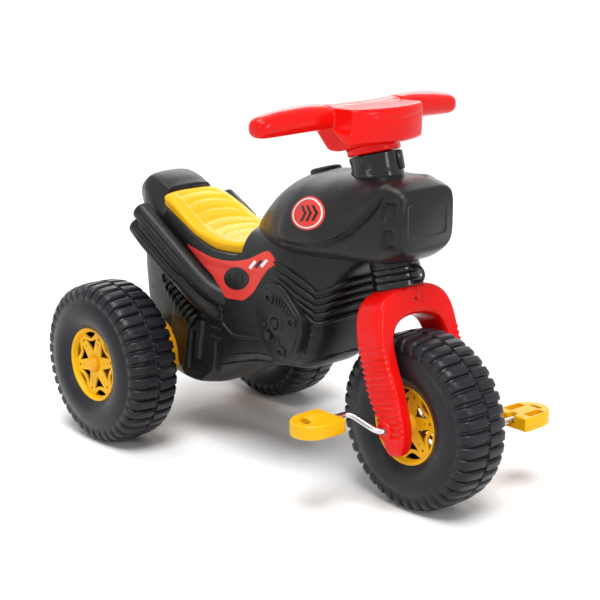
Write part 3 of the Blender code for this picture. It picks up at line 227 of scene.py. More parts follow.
def carved(mesh, operation, *others, angle=38.0):
    """A mesh joined with or cut by others."""
    item = raw(mesh)
    helpers = [raw(other) for other in others]
    for helper in helpers:
        change = item.modifiers.new(helper.name, "BOOLEAN")
        change.operation = operation
        change.object = helper
        change.solver = "EXACT"
    made = baked(item, angle)
    for helper in helpers:
        bpy.data.objects.remove(helper)
    return made


def smooth_line(points, place):
    """A curve through (place, value) points that never overshoots them."""
    places = np.array([p[0] for p in points])
    values = np.array([p[1] for p in points])
    width = np.diff(places)
    slope = np.diff(values) / width
    tangent = np.concatenate(([slope[0]], np.zeros(len(slope) - 1), [slope[-1]]))
    for i in range(1, len(slope)):
        before, after = slope[i - 1], slope[i]
        if before * after > 0.0:
            share = 2.0 * width[i] + width[i - 1], width[i] + 2.0 * width[i - 1]
            tangent[i] = sum(share) / (share[0] / before + share[1] / after)
    place = min(max(place, places[0]), places[-1])
    i = min(int(np.searchsorted(places, place, side="right")) - 1, len(width) - 1)
    t = (place - places[i]) / width[i]
    level = values[i] * (1.0 + 2.0 * t) * (1.0 - t) ** 2 + values[i + 1] * t ** 2 * (3.0 - 2.0 * t)
    lean = tangent[i] * t * (1.0 - t) ** 2 - tangent[i + 1] * t ** 2 * (1.0 - t)
    return float(level + width[i] * lean)


def column(table, place, number):
    """One column of a table, read at a place along the first one."""
    return smooth_line([(row[0], row[number]) for row in table], place)


def step(value, low, high):
    """Nought below low, one above high, and a soft rise between."""
    t = min(max((value - low) / (high - low), 0.0), 1.0)
    return t * t * (3.0 - 2.0 * t)


def span(value, low, high, soft):
    """One between low and high, fading out over soft at each end."""
    return step(value, low - soft, low) * (1.0 - step(value, high, high + soft))


def spaced(first, last, pitch):
    """Places from first to last in equal steps no longer than the pitch."""
    count = max(1, math.ceil((last - first) / pitch))
    return [first + (last - first) * i / count for i in range(count + 1)]


def circle(count, start=0.0):
    """Angles at equal steps round a circle."""
    return [2.0 * math.pi * (i + start) / count for i in range(count)]


def oval(angle, power):
    """An angle's cosine and sine, squared off by a power under one."""
    return [math.copysign(abs(part) ** power, part) for part in (math.cos(angle), math.sin(angle))]


def section(x, bottom, middle, top, half_width, upper, lower, count):
    """A ring across the body, an oval above its widest height and another below it."""
    ring = []
    for angle in circle(count, 0.5):
        reach = top - middle if angle < math.pi else middle - bottom
        across, up = oval(angle, 2.0 / (upper if angle < math.pi else lower))
        ring.append(Vector((x, half_width * across, DATUM + middle + reach * up)))
    return ring


# place, bottom, widest, top, half width, roundness above and below
FRAME_SHAPE = [
    (-0.325, 0.042, 0.057, 0.076, 0.041, 4.0, 3.0), (-0.316, 0.027, 0.052, 0.085, 0.045, 4.0, 3.0),
    (-0.305, -0.023, 0.024, 0.0895, 0.050, 5.0, 3.6), (-0.297, -0.101, -0.026, 0.0885, 0.055, 5.0, 4.0),
    (-0.282, -0.178, -0.056, 0.0845, 0.060, 5.0, 4.0), (-0.255, -0.2135, -0.071, 0.0740, 0.065, 5.0, 4.0),
    (-0.200, -0.2195, -0.081, 0.065, 0.071, 3.6, 4.0), (-0.150, -0.211, -0.086, 0.059, 0.074, 3.6, 3.6),
    (-0.110, -0.193, -0.081, 0.051, 0.076, 3.6, 3.4), (-0.070, -0.170, -0.071, 0.049, 0.077, 3.6, 3.4),
    (-0.030, -0.151, -0.061, 0.054, 0.078, 3.6, 3.6), (0.020, -0.143, -0.056, 0.072, 0.078, 3.6, 3.8),
    (0.060, -0.138, -0.051, 0.084, 0.075, 3.6, 3.8), (0.085, -0.124, -0.046, 0.084, 0.070, 3.4, 3.6),
    (0.105, -0.089, -0.031, 0.084, 0.064, 3.4, 3.4), (0.120, -0.035, -0.006, 0.084, 0.059, 3.4, 3.2),
    (0.135, 0.0, 0.024, 0.079, 0.053, 3.2, 3.2), (0.148, 0.017, 0.034, 0.071, 0.044, 3.0, 3.0),
    (0.160, 0.029, 0.043, 0.059, 0.030, 2.6, 2.6)]
TANK_SHAPE = [
    (-0.062, 0.029, 0.040, 0.053, 0.026, 2.0, 2.4), (-0.048, 0.021, 0.044, 0.067, 0.038, 2.0, 2.4),
    (-0.024, 0.017, 0.049, 0.092, 0.053, 2.0, 2.4), (0.0, 0.017, 0.052, 0.113, 0.065, 2.0, 2.4),
    (0.030, 0.018, 0.057, 0.130, 0.077, 2.0, 2.4), (0.070, 0.021, 0.062, 0.143, 0.085, 2.0, 2.4),
    (0.110, 0.026, 0.069, 0.1475, 0.086, 2.2, 2.5), (0.150, 0.030, 0.077, 0.1500, 0.079, 2.4, 2.6),
    (0.180, 0.033, 0.084, 0.151, 0.069, 2.8, 2.8), (0.205, 0.036, 0.090, 0.1505, 0.0585, 3.8, 3.2),
    (0.225, 0.042, 0.095, 0.1475, 0.0530, 4.6, 3.8), (0.239, 0.052, 0.098, 0.1425, 0.0505, 5.2, 4.4),
    (0.2440, 0.058, 0.099, 0.1400, 0.0490, 5.2, 4.6), (0.2455, 0.061, 0.099, 0.1380, 0.0475, 5.2, 4.6)]
# place and height of the sharp ridge on the tank's side, and of the lower edge of the hollow under it
TANK_RIDGE = [(0.045, 0.3400), (0.051, 0.3440), (0.0935, 0.3465), (0.131, 0.3541), (0.162, 0.3676),
              (0.189, 0.3931), (0.202, 0.4084), (0.210, 0.4190), (0.216, 0.4290)]
TANK_LIP = [(0.045, 0.3330), (0.064, 0.3370), (0.111, 0.3370), (0.146, 0.3450), (0.1735, 0.3590),
            (0.1925, 0.3790), (0.205, 0.3950), (0.216, 0.4100)]


def hull(name, shape, pitch, count, change):
    rings = []
    for x in spaced(shape[0][0], shape[-1][0], pitch):
        row = [column(shape, x, number) for number in range(1, 7)]
        ring = section(x, *row, count)
        middle = Vector((x, 0.0, DATUM + row[1]))
        rings.append([change(point, (point - middle).normalized()) for point in ring])
    return grid_mesh(name, rings)


def frame_relief(point, out):
    """The frame's own hollows: a waist under the saddle's rim and a groove above the belly."""
    x, y, z = point
    rim = smooth_line([(-0.30, 0.352), (-0.20, 0.312), (-0.12, 0.290), (-0.04, 0.290), (0.05, 0.312)], x)
    waist = span(z, rim - 0.060, rim - 0.014, 0.010) * span(x, -0.22, 0.02, 0.03) * step(abs(y), 0.045, 0.062)
    point = point - out * 0.0022 * waist
    roof = DATUM + column(FRAME_SHAPE, x, 3)
    tail = 1.0 - step(x, -0.250, -0.235)
    over = ((abs(y) - 0.036) * 0.82 + (z - roof) * 0.57) * tail
    if over > 0.0:
        point = point - Vector((0.0, math.copysign(0.82, y), 0.57)) * over
    return point - Vector((0.0, 0.0, 0.055 * abs(point.y))) * tail * step(z, roof - 0.03, roof - 0.01)


def tank_relief(point, out):
    """The tank's crescent hollow under a sharp ridge, and an upright channel behind the headlight's face."""
    x, y, z = point
    ridge, lip = smooth_line(TANK_RIDGE, x), smooth_line(TANK_LIP, x)
    side = step(abs(y), 0.020, 0.034) * span(x, 0.056, 0.206, 0.014)
    proud = step(z - ridge, -0.0012, 0.0008) * (1.0 - step(z - ridge, 0.003, 0.050))
    hollow = step((z - lip) / max(ridge - lip, 0.001), -0.10, 0.95) * (1.0 - step(z - ridge, -0.0012, 0.0008))
    point = point + out * side * (0.0032 * proud - 0.0056 * hollow)
    channel = span(x, 0.2180, 0.2360, 0.0020) * step(abs(y), 0.026, 0.036)
    slope = min(max((z - 0.3800) / 0.0350, 0.0), 1.0) * (1.0 - step(z, 0.4150, 0.4185))
    point = point - out * channel * (0.0078 * span(z, 0.3560, 0.3770, 0.0022) + 0.0085 * slope)
    return point


SEAT_REAR, SEAT_FRONT = -0.2575, -0.0455
SEAT_SHELF = [(0.0, 0.0520), (0.26, 0.0335), (0.48, 0.0165), (0.70, 0.0065), (0.92, 0.0085), (1.0, 0.0145)]


def along_seat(line, x):
    return smooth_line(line, (x - SEAT_REAR) / (SEAT_FRONT - SEAT_REAR))


def shelf_cutter():
    rings = []
    for x in spaced(SEAT_REAR - 0.0003, SEAT_FRONT + 0.0003, 0.006):
        low = DATUM + along_seat(SEAT_SHELF, x)
        rings.append([Vector((x, y, z)) for y, z in ((-0.12, low), (0.12, low), (0.12, 0.51), (-0.12, 0.51))])
    return grid_mesh("shelf_cutter", rings)


STEERING = Matrix.Translation((FRONT, 0.0, AXLE_HEIGHT)) @ Matrix.Rotation(-RAKE, 4, "Y")


def outward(side):
    """The turn that points the Z axis out to one side of the machine."""
    return Matrix.Rotation(-side * math.pi / 2, 4, "X")


def softened(points, radius, steps=3, closed=False):
    """A flat outline with its corners rounded."""
    made = []
    count = len(points)
    for i, corner in enumerate(points):
        if not closed and i in (0, count - 1):
            made.append(corner)
            continue
        before, after = points[i - 1], points[(i + 1) % count]
        first = (before[0] - corner[0], before[1] - corner[1])
        second = (after[0] - corner[0], after[1] - corner[1])
        lengths = math.hypot(*first), math.hypot(*second)
        reach = min(radius, 0.45 * lengths[0], 0.45 * lengths[1])
        start = [c + f * reach / lengths[0] for c, f in zip(corner, first)]
        end = [c + f * reach / lengths[1] for c, f in zip(corner, second)]
        for k in range(steps + 1):
            t = k / steps
            made.append(tuple((1 - t) ** 2 * a + 2 * t * (1 - t) * c + t * t * b
                              for a, c, b in zip(start, corner, end)))
    return made


def oblong(left, right, low, high):
    """The corners of a box."""
    return [(left, low), (right, low), (right, high), (left, high)]


def turned(name, profile, steps=72, place=Matrix(), radius=0.0008, closed=True, angle=38.0):
    """A profile of (radius, height) points turned round an axis; it may close on itself."""
    outline = softened(profile, radius, closed=closed) if radius else profile
    rings = []
    for r, h in outline + ([outline[0]] if closed else []):
        rings.append([place @ Vector((r * math.cos(a), r * math.sin(a), h)) for a in circle(steps)])
    return grid_mesh(name, rings, angle=angle, ends=False)


def rod(name, radius, low, high, steps, place):
    """A plain round bar between two heights on an axis, to join to a piece or to cut it with."""
    return turned(name, [(0.0, low), (radius, low), (radius, high), (0.0, high)], steps, place, 0.0, False)


def bevelled(mesh, width, segments, angle, limit=None):
    """A mesh with its edges rounded; a limit leaves the blunter ones alone."""
    item = raw(mesh)
    edge = item.modifiers.new("edges", "BEVEL")
    edge.width = width
    edge.segments = segments
    if limit:
        edge.limit_method = "ANGLE"
        edge.angle_limit = math.radians(limit)
    return baked(item, angle)


frame_hull = hull("frame_hull", FRAME_SHAPE, 0.0036, 160, frame_relief)
tank_hull = hull("tank_hull", TANK_SHAPE, 0.0022, 300, tank_relief)
head_tube = rod("head_tube", 0.0335, 0.206, 0.300, 72, STEERING)
axle_boss = rod("axle_boss", 0.017, -0.067, 0.067, 48,
                Matrix.Translation((REAR, 0.0, AXLE_HEIGHT)) @ outward(RIGHT))
collar_well = rod("collar_well", 0.0353, 0.3179, 0.40, 72, STEERING)
body_mesh = carved(frame_hull, "UNION", tank_hull, head_tube, axle_boss)
body_mesh = carved(body_mesh, "DIFFERENCE", shelf_cutter(), collar_well)
body_mesh.name = "body_shell_moulding"
body_mesh = bevelled(body_mesh, 0.0012, 2, 50.0, 42.0)
body = piece("body_shell_moulding", body_mesh, BLACK, "black_plastic", "frame_body", "body_shell")
skin = BVHTree.FromObject(body, bpy.context.evaluated_depsgraph_get())


def on_side(x, z, side, lift=0.0):
    """The point of the body's side at a place and height, lifted off its surface."""
    hit, normal, _, _ = skin.ray_cast(Vector((x, side * 0.3, z)), Vector((0.0, -side, 0.0)))
    return hit + normal * lift


def round_front(angle, z, lift=0.0):
    """The point of the body's front at an angle from straight ahead and a height."""
    out = Vector((math.cos(angle), math.sin(angle), 0.0))
    hit, normal, _, _ = skin.ray_cast(Vector((0.050, 0.0, z)) + out * 0.3, -out)
    return hit + normal * lift


# Raised work on the body's sides: ribs and ridges that the mould leaves standing on the shell, such as
# the engine's cooling fins, the frame rail and the edge of the side panel. Each is a round strip laid
# on the shell's own surface, so that half of it is sunk.
def node_tree(name, *inputs):
    tree = bpy.data.node_groups.new(name, "GeometryNodeTree")
    tree.interface.new_socket(name="Geometry", in_out="INPUT", socket_type="NodeSocketGeometry")
    for label, kind in inputs:
        tree.interface.new_socket(name=label, in_out="INPUT", socket_type=kind)
    tree.interface.new_socket(name="Material", in_out="INPUT", socket_type="NodeSocketMaterial")
    tree.interface.new_socket(name="Geometry", in_out="OUTPUT", socket_type="NodeSocketGeometry")
    return tree, tree.nodes.new("NodeGroupInput"), tree.nodes.new("NodeGroupOutput")


def wired(tree, kind, links, settings=None):
    node = tree.nodes.new(kind)
    for key, value in (settings or {}).items():
        setattr(node, key, value)
    for key, value in links.items():
        if isinstance(value, bpy.types.NodeSocket):
            tree.links.new(value, node.inputs[key])
        else:
            node.inputs[key].default_value = value
    return node


def finish_tree(tree, geometry, given, result):
    whole = wired(tree, "GeometryNodeRealizeInstances", {"Geometry": geometry})
    coated = wired(tree, "GeometryNodeSetMaterial", {"Geometry": whole.outputs[0],
                                                     "Material": given.outputs["Material"]})
    tree.links.new(coated.outputs[0], result.inputs[0])
    return tree


def sweep_tree():
    """A round section drawn along a line of points, as thick at each point as its own measure says."""
    tree, given, result = node_tree("swept_strip", ("Sides", "NodeSocketInt"))
    line = wired(tree, "GeometryNodeMeshToCurve", {"Mesh": given.outputs["Geometry"]})
    thick = wired(tree, "GeometryNodeInputNamedAttribute", {"Name": "thick"}, {"data_type": "FLOAT"})
    sized = wired(tree, "GeometryNodeSetCurveRadius", {"Curve": line.outputs[0],
                                                       "Radius": thick.outputs[0]})
    ring = wired(tree, "GeometryNodeCurvePrimitiveCircle", {"Resolution": given.outputs["Sides"],
                                                            "Radius": 1.0})
    links = {"Curve": sized.outputs[0], "Profile Curve": ring.outputs[0], "Fill Caps": True}
    strip = wired(tree, "GeometryNodeCurveToMesh", links)
    if "Scale" in strip.inputs:
        reach = wired(tree, "GeometryNodeInputNamedAttribute", {"Name": "thick"}, {"data_type": "FLOAT"})
        tree.links.new(reach.outputs[0], strip.inputs["Scale"])
    return finish_tree(tree, strip.outputs[0], given, result)


def repeat_tree():
    """One part of a wheel, repeated at equal angles round Z and welded where its copies meet."""
    tree, given, result = node_tree("repeated_round", ("Count", "NodeSocketInt"))
    dots = wired(tree, "GeometryNodePoints", {"Count": given.outputs["Count"]})
    number = wired(tree, "GeometryNodeInputIndex", {})
    share = wired(tree, "ShaderNodeMath", {0: number.outputs[0], 1: given.outputs["Count"]},
                  {"operation": "DIVIDE"})
    turn = wired(tree, "ShaderNodeMath", {0: share.outputs[0], 1: 2.0 * math.pi}, {"operation": "MULTIPLY"})
    spin = wired(tree, "ShaderNodeCombineXYZ", {"Z": turn.outputs[0]})
    copies = wired(tree, "GeometryNodeInstanceOnPoints", {"Points": dots.outputs[0],
                                                          "Instance": given.outputs["Geometry"],
                                                          "Rotation": spin.outputs[0]})
    whole = wired(tree, "GeometryNodeRealizeInstances", {"Geometry": copies.outputs[0]})
    welded = wired(tree, "GeometryNodeMergeByDistance", {"Geometry": whole.outputs[0], "Distance": 0.00002})
    return finish_tree(tree, welded.outputs[0], given, result)


def grown(item, tree, material, angle, **values):
    """The plain mesh that a node tree makes of an object."""
    change = item.modifiers.new(tree.name, "NODES")
    change.node_group = tree
    for slot in tree.interface.items_tree:
        if slot.in_out == "INPUT" and slot.name in values:
            change[slot.identifier] = values[slot.name]
        if slot.in_out == "INPUT" and slot.name == "Material":
            change[slot.identifier] = material
    return baked(item, angle)


SWEEP = sweep_tree()
REPEAT = repeat_tree()


def curve_through(points, steps=8):
    """A smooth line of points through the given ones."""
    line = [Vector(p) for p in points]
    made = []
    for i in range(len(line) - 1):
        before = line[max(i - 1, 0)]
        after = line[min(i + 2, len(line) - 1)]
        a, b = line[i], line[i + 1]
        for k in range(steps):
            t = k / steps
            made.append(0.5 * (2 * a + (b - before) * t + (2 * before - 5 * a + 4 * b - after) * t * t
                               + (3 * a - before - 3 * b + after) * t ** 3))
    return made + [line[-1]]


def strip(name, points, thickness, sides=10, material=BLACK, angle=60.0):
    """A strip along a line of points; its thickness is one radius or one for each point."""
    radii = thickness if isinstance(thickness, list) else [thickness] * len(points)
    mesh = bpy.data.meshes.new(name)
    mesh.from_pydata(points, [(i, i + 1) for i in range(len(points) - 1)], [])
    mesh.attributes.new("thick", "FLOAT", "POINT").data.foreach_set("value", radii)
    return grown(raw(mesh), SWEEP, material, angle, Sides=sides)


def joined(name, meshes, angle=60.0):
    """Several meshes as one."""
    body = bmesh.new()
    for mesh in meshes:
        body.from_mesh(mesh)
    made = bpy.data.meshes.new(name)
    body.to_mesh(made)
    body.free()
    made.shade_smooth()
    made.set_sharp_from_angle(angle=math.radians(angle))
    return made


def pointed(points, radius, tip=0.35, length=3):
    """A radius for each point of a strip, less towards both its ends."""
    last = len(points) - 1
    return [radius * (tip + (1.0 - tip) * min(1.0, i / length, (last - i) / length))
            for i in range(len(points))]


def moulded(name, meshes, angle=60.0):
    """Raised work that is one with the black shell."""
    piece(name, joined(name, meshes, angle), BLACK, "black_plastic", "frame_body")


# half of each fin's line, from its rear end to the nose: place, distance from the middle, height
FINS = [
    [(0.0297, 0.0738, 0.3071), (0.0566, 0.0735, 0.3008), (0.0780, 0.0706, 0.2918),
     (0.0938, 0.0666, 0.2831), (0.1053, 0.0632, 0.2764), (0.1263, 0.0545, 0.2860),
     (0.1354, 0.0339, 0.2939), (0.1390, 0.0, 0.2945)],
    [(0.0296, 0.0755, 0.2960), (0.0558, 0.0746, 0.2882), (0.0763, 0.0709, 0.2790),
     (0.0923, 0.0670, 0.2717), (0.1044, 0.0634, 0.2659), (0.1236, 0.0519, 0.2740),
     (0.1293, 0.0279, 0.2792), (0.1320, 0.0, 0.2796)],
    [(0.0371, 0.0800, 0.2862), (0.0574, 0.0778, 0.2764), (0.0746, 0.0713, 0.2668),
     (0.0908, 0.0675, 0.2603), (0.1037, 0.0637, 0.2559), (0.1198, 0.0501, 0.2631),
     (0.1240, 0.0247, 0.2664), (0.1260, 0.0, 0.2667)],
    [(0.0647, 0.0790, 0.2689), (0.0785, 0.0711, 0.2570), (0.0908, 0.0675, 0.2505),
     (0.1030, 0.0639, 0.2454), (0.1164, 0.0469, 0.2507), (0.1196, 0.0204, 0.2549),
     (0.1210, 0.0, 0.2552)],
    [(0.0803, 0.0745, 0.2500), (0.0900, 0.0703, 0.2420), (0.1015, 0.0643, 0.2339),
     (0.1128, 0.0454, 0.2370), (0.1153, 0.0181, 0.2395), (0.1160, 0.0, 0.2397)]]


def on_skin(point, lift=0.0):
    """The nearest point of the body's surface, lifted off it."""
    hit, normal, _, _ = skin.find_nearest(Vector(point))
    return hit + normal * lift


fins = []
for half in FINS:
    line = [(x, -y, z) for x, y, z in half] + half[-2::-1]
    line = [on_skin(p, 0.0006) for p in curve_through(line, 6)]
    fins.append(strip("fin", line, pointed(line, 0.0036, 0.4, 6), 14))
moulded("engine_fins", fins)

# place and height on the side; at the nose, angle from straight ahead and height
RAIL = [(-0.110, 0.124), (-0.080, 0.134), (-0.050, 0.143), (-0.020, 0.150), (0.010, 0.156), (0.040, 0.161)]
RAIL_FRONT = [(60.0, 0.170), (40.0, 0.175), (20.0, 0.177), (0.0, 0.178)]
PANEL_EDGE = [(-0.1456, 0.2744), (-0.1340, 0.2570), (-0.1150, 0.2470), (-0.0970, 0.2330), (-0.0880, 0.2170),
              (-0.0830, 0.1970), (-0.0725, 0.1890), (-0.0560, 0.1835), (-0.0187, 0.1885), (0.0040, 0.1930)]
FRAME_EDGE = [(-0.092, 0.130), (-0.078, 0.146), (-0.050, 0.156), (-0.010, 0.166), (0.020, 0.170),
              (0.052, 0.178), (0.084, 0.196)]
ridges = []
for name, side in SIDES:
    line = [on_side(x, z, side) for x, z in RAIL]
    line += [round_front(side * math.radians(a), z) for a, z in RAIL_FRONT]
    edges = [[on_side(x, z, side) for x, z in points] for points in (PANEL_EDGE, FRAME_EDGE)]
    for points, thick, tip in ((line, 0.0024, 0.4), (edges[0], 0.0030, 0.3), (edges[1], 0.0016, 0.3)):
        ridge = curve_through(points, 6)
        ridges.append(strip("ridge", ridge, pointed(ridge, thick, tip, 8), 12))
moulded("frame_ridges", ridges)


# Mock engine cover on each side: a raised many-cornered plate with round bolt heads, a knob in its
# middle with teeth and webs round it, and short fins ahead of it. All of it is moulded with the shell.
def centre(outline):
    return [sum(p[i] for p in outline) / len(outline) for i in (0, 1)]


def shifted(outline, share):
    """An outline drawn in to a share of its size."""
    middle = centre(outline)
    return [tuple(m + (c - m) * share for c, m in zip(p, middle)) for p in outline]


def pressed(name, outline, low, high, side, round_to=0.0016, corner=0.004):
    """A plate on the body's side, raised between two distances from the middle plane."""
    edge = softened(outline, corner, 4, True)
    across, up = centre(edge)
    middle = Vector((across, 0.0, up))

    def ring(inset, level):
        made = []
        for x, z in edge:
            point = Vector((x, 0.0, z))
            inward = (middle - point).normalized()
            made.append(point + inward * inset + Vector((0.0, side * level, 0.0)))
        return made

    rings = [ring(0.0, low), ring(0.0, high - round_to), ring(round_to * 0.3, high - round_to * 0.3),
             ring(round_to, high)]
    return grid_mesh(name, rings, angle=50.0)


COVER = [(0.002, 0.262), (0.026, 0.279), (0.052, 0.279), (0.073, 0.262), (0.093, 0.243), (0.096, 0.222),
         (0.085, 0.190), (0.058, 0.166), (0.034, 0.166), (0.014, 0.192), (-0.003, 0.225)]
COVER_ROOT, HEAD_ROOT, COVER_FACE = 0.060, 0.070, 0.0835
STEP_FACE = COVER_FACE + 0.0018


def button(name, x, z, side, radius, low, high, hollow=0.0):
    """A round head that stands out sideways, with a dimple if it's hollow."""
    profile = [(radius * 1.15, low), (radius * 1.05, high - radius * 0.25), (radius * 0.80, high)]
    if hollow:
        profile += [(radius * 0.55, high), (radius * 0.45, high - hollow), (0.0, high - hollow)]
    else:
        profile += [(0.0, high)]
    place = Matrix.Translation((x, 0.0, z)) @ outward(side)
    return turned(name, profile, 36, place, 0.0005, False, 50.0)


HUB = Vector((0.0440, 0.0, 0.2250))
# place, height, radius, how far it stands out of the cover's face, depth of its dimple
HEADS = [(HUB.x, HUB.z, 0.0175, 0.0050, 0.0030), (HUB.x, HUB.z, 0.0066, 0.0056, 0.0),
         (0.0290, 0.2040, 0.0060, 0.0064, 0.0), (0.0314, 0.2585, 0.0080, 0.0056, 0.0034),
         (0.0780, 0.2330, 0.0080, 0.0056, 0.0034), (0.0560, 0.1860, 0.0080, 0.0056, 0.0034)]
# count, first angle, pitch, radii of its line, thickness: teeth above the knob and webs below it
RAYS = [(9, 5.0, 10.5, (0.0270, 0.0330, 0.0390), 0.0021), (5, 195.0, 22.0, (0.0205, 0.0250, 0.0300), 0.0016)]
relief = []
for name, side in SIDES:
    relief.append(pressed("cover", COVER, COVER_ROOT, COVER_FACE, side, 0.0026, 0.008))
    relief.append(pressed("cover_step", shifted(COVER, 0.86), COVER_ROOT, STEP_FACE, side, 0.0016, 0.008))
    for x, z, radius, proud, dimple in HEADS:
        relief.append(button("head", x, z, side, radius, HEAD_ROOT, COVER_FACE + proud, dimple))
    for count, first, pitch, radii, thick in RAYS:
        for k in range(count):
            angle = math.radians(first + pitch * k)
            line = [HUB + Vector((r * math.cos(angle), side * STEP_FACE, r * math.sin(angle))) for r in radii]
            relief.append(strip("ray", line, thick, 8))
    for k in range(6):
        x, z = 0.097 - 0.0035 * k, 0.236 - 0.0095 * k
        ends = [on_side(x - 0.010, z + 0.003, side), on_side(x + 0.012 - 0.002 * k, z - 0.003, side)]
        relief.append(strip("side_fin", [ends[0], ends[0].lerp(ends[1], 0.5), ends[1]], 0.0022, 10))
moulded("engine_cover", relief, 50.0)


# Twin exhaust on each side: two stacked pipes, moulded with the shell, with open rounded tails at the
# back, a ribbed heat shield along them and front ends that dive into the engine.
def tail_pipe(points, radius, mouth, depth):
    """A pipe along a line with an open tail at its first end."""
    line = [Vector(p) for p in points]
    along = (line[1] - line[0]).normalized()
    turn = along.to_track_quat("Z", "Y").to_matrix().to_4x4()
    profile = [(0.0, depth), (mouth * 0.9, depth), (mouth, 0.0), ((mouth + radius) / 2, -0.0012),
               (radius * 0.97, 0.0004), (radius, 0.003)]
    end = turned("tail", profile, 48, Matrix.Translation(line[0]) @ turn, 0.0, False, 60.0)
    tube = strip("pipe", [line[0] + along * 0.003] + line[1:], radius, 32)
    return joined("pipe", [end, tube], 50.0)


# place along the body, height over the datum, distance from the middle plane
EXHAUST = [(-0.278, 0.0300, 0.0810), (-0.140, -0.0480, 0.0810), (-0.116, -0.0616, 0.0765),
           (-0.090, -0.0763, 0.0600)]
PIPE_RADIUS, PIPE_MOUTH, PIPE_DEPTH = 0.0148, 0.0105, 0.030
# lift over the middle between both pipes and height over their axes, for each line of the heat shield
SHIELD_LINES = [(0.0225, 0.0112), (0.0175, 0.0140), (0.0115, 0.0147), (0.0055, 0.0127), (0.0, 0.0070),
                (-0.0055, 0.0127), (-0.0115, 0.0147), (-0.0175, 0.0140), (-0.0225, 0.0112)]
pipes = []
run = Vector((0.138, 0.0, -0.078)).normalized()
above = Vector((-run.z, 0.0, run.x))
for name, side in SIDES:
    for lift, trim in ((0.0132, 0.000), (-0.0132, 0.002)):
        line = [Vector((x, side * y, DATUM + z)) + above * lift for x, z, y in EXHAUST]
        line[0] += run * trim
        line = [line[0].lerp(line[1], k / 10) for k in range(10)] + curve_through(line[1:], 6)
        pipes.append(tail_pipe(line, PIPE_RADIUS, PIPE_MOUTH, PIPE_DEPTH))
    tail_x, tail_z, tail_y = EXHAUST[0]
    for lift, height in SHIELD_LINES:
        start = Vector((tail_x, side * (tail_y + height), DATUM + tail_z)) + above * lift
        line = [start + run * (0.012 + 0.012 * k) for k in range(11)]
        pipes.append(strip("shield_line", line, pointed(line, 0.0017, 0.3, 2), 8))
    start = Vector((tail_x, side * (tail_y + 0.0010), DATUM + tail_z))
    line = [start + run * (0.006 + 0.015 * k) for k in range(10)]
    pipes.append(strip("heat_shield", line, pointed(line, 0.0118, 0.6, 1), 24))
moulded("exhaust_pipes", pipes, 50.0)


# Mock rear suspension and chain case on each side: a coil spring on a slanted damper, two stout clips
# and four short ribs, again all moulded with the shell in its own black plastic.
def damper(side):
    start, end = Vector((-0.216, side * 0.070, 0.238)), Vector((-0.142, side * 0.072, 0.180))
    along = (end - start).normalized()
    across = along.cross(Vector((0.0, side, 0.0))).normalized()
    out = along.cross(across)
    made = [strip("damper", [start - along * 0.006, start.lerp(end, 0.5), end + along * 0.008], 0.0085, 20)]
    turns = 8
    last = turns * 18
    coil = []
    for k in range(last + 1):
        t = k / last
        angle = 2.0 * math.pi * turns * t
        around = across * math.cos(angle) + out * math.sin(angle)
        coil.append(start.lerp(end, 0.06 + 0.88 * t) + around * 0.0148)
    made.append(strip("coil", coil, 0.0033, 10))
    for point, size in ((start, 0.0125), (end, 0.0115)):
        made.append(button("eye", point.x, point.z, side, size, 0.055, 0.0800, 0.003))
    return made


CHAIN_CASE = [(-0.205, 0.196), (-0.120, 0.200), (-0.098, 0.176), (-0.108, 0.118), (-0.140, 0.094),
              (-0.180, 0.094), (-0.214, 0.140)]
springs = []
for name, side in SIDES:
    springs += damper(side)
    springs.append(pressed("case", CHAIN_CASE, 0.050, 0.0760, side, 0.003))
    for x, low, high in ((-0.1615, 0.112, 0.178), (-0.1335, 0.132, 0.192)):
        ends = [(x - 0.007, low), (x - 0.002, low + 0.030), (x + 0.003, high - 0.010), (x + 0.004, high)]
        line = [Vector((px, side * 0.0765, pz)) for px, pz in ends]
        springs.append(strip("clip", curve_through(line, 5), 0.0072, 16))
    for k in range(4):
        ends = [on_side(x - 0.002 * k, 0.2150 - 0.0150 * k, side) for x in (-0.108, -0.094, -0.080)]
        springs.append(strip("case_rib", curve_through(ends, 3), 0.0032, 12))
moulded("suspension_relief", springs, 50.0)


# Saddle: a separate yellow moulding that drops into the body's recess, hollow underneath, with nine
# arched ribs across it inside a smooth raised border.
YELLOW = plastic("yellow_plastic", rgb(0.88, 0.49, 0.007), rgb(0.80, 0.41, 0.005), (0.24, 0.38),
                 (900.0, 0.00025), 0.16)
# share of the saddle's length, and there its height over the datum or half its width
SEAT_CROWN = [(0.0, 0.0685), (0.12, 0.0630), (0.25, 0.0510), (0.40, 0.0355), (0.52, 0.0285), (0.75, 0.0245),
              (0.89, 0.0275), (1.0, 0.0355)]
SEAT_WIDTH = [(0.0, 0.0450), (0.015, 0.0500), (0.04, 0.0525), (0.11, 0.0545), (0.27, 0.0585), (0.48, 0.0615),
              (0.70, 0.0605), (0.86, 0.0560), (0.96, 0.0480), (0.99, 0.0420), (1.0, 0.0360)]
RIB_PITCH = 0.0220
SEAT_GAP = 0.0003
BORDER = 0.020


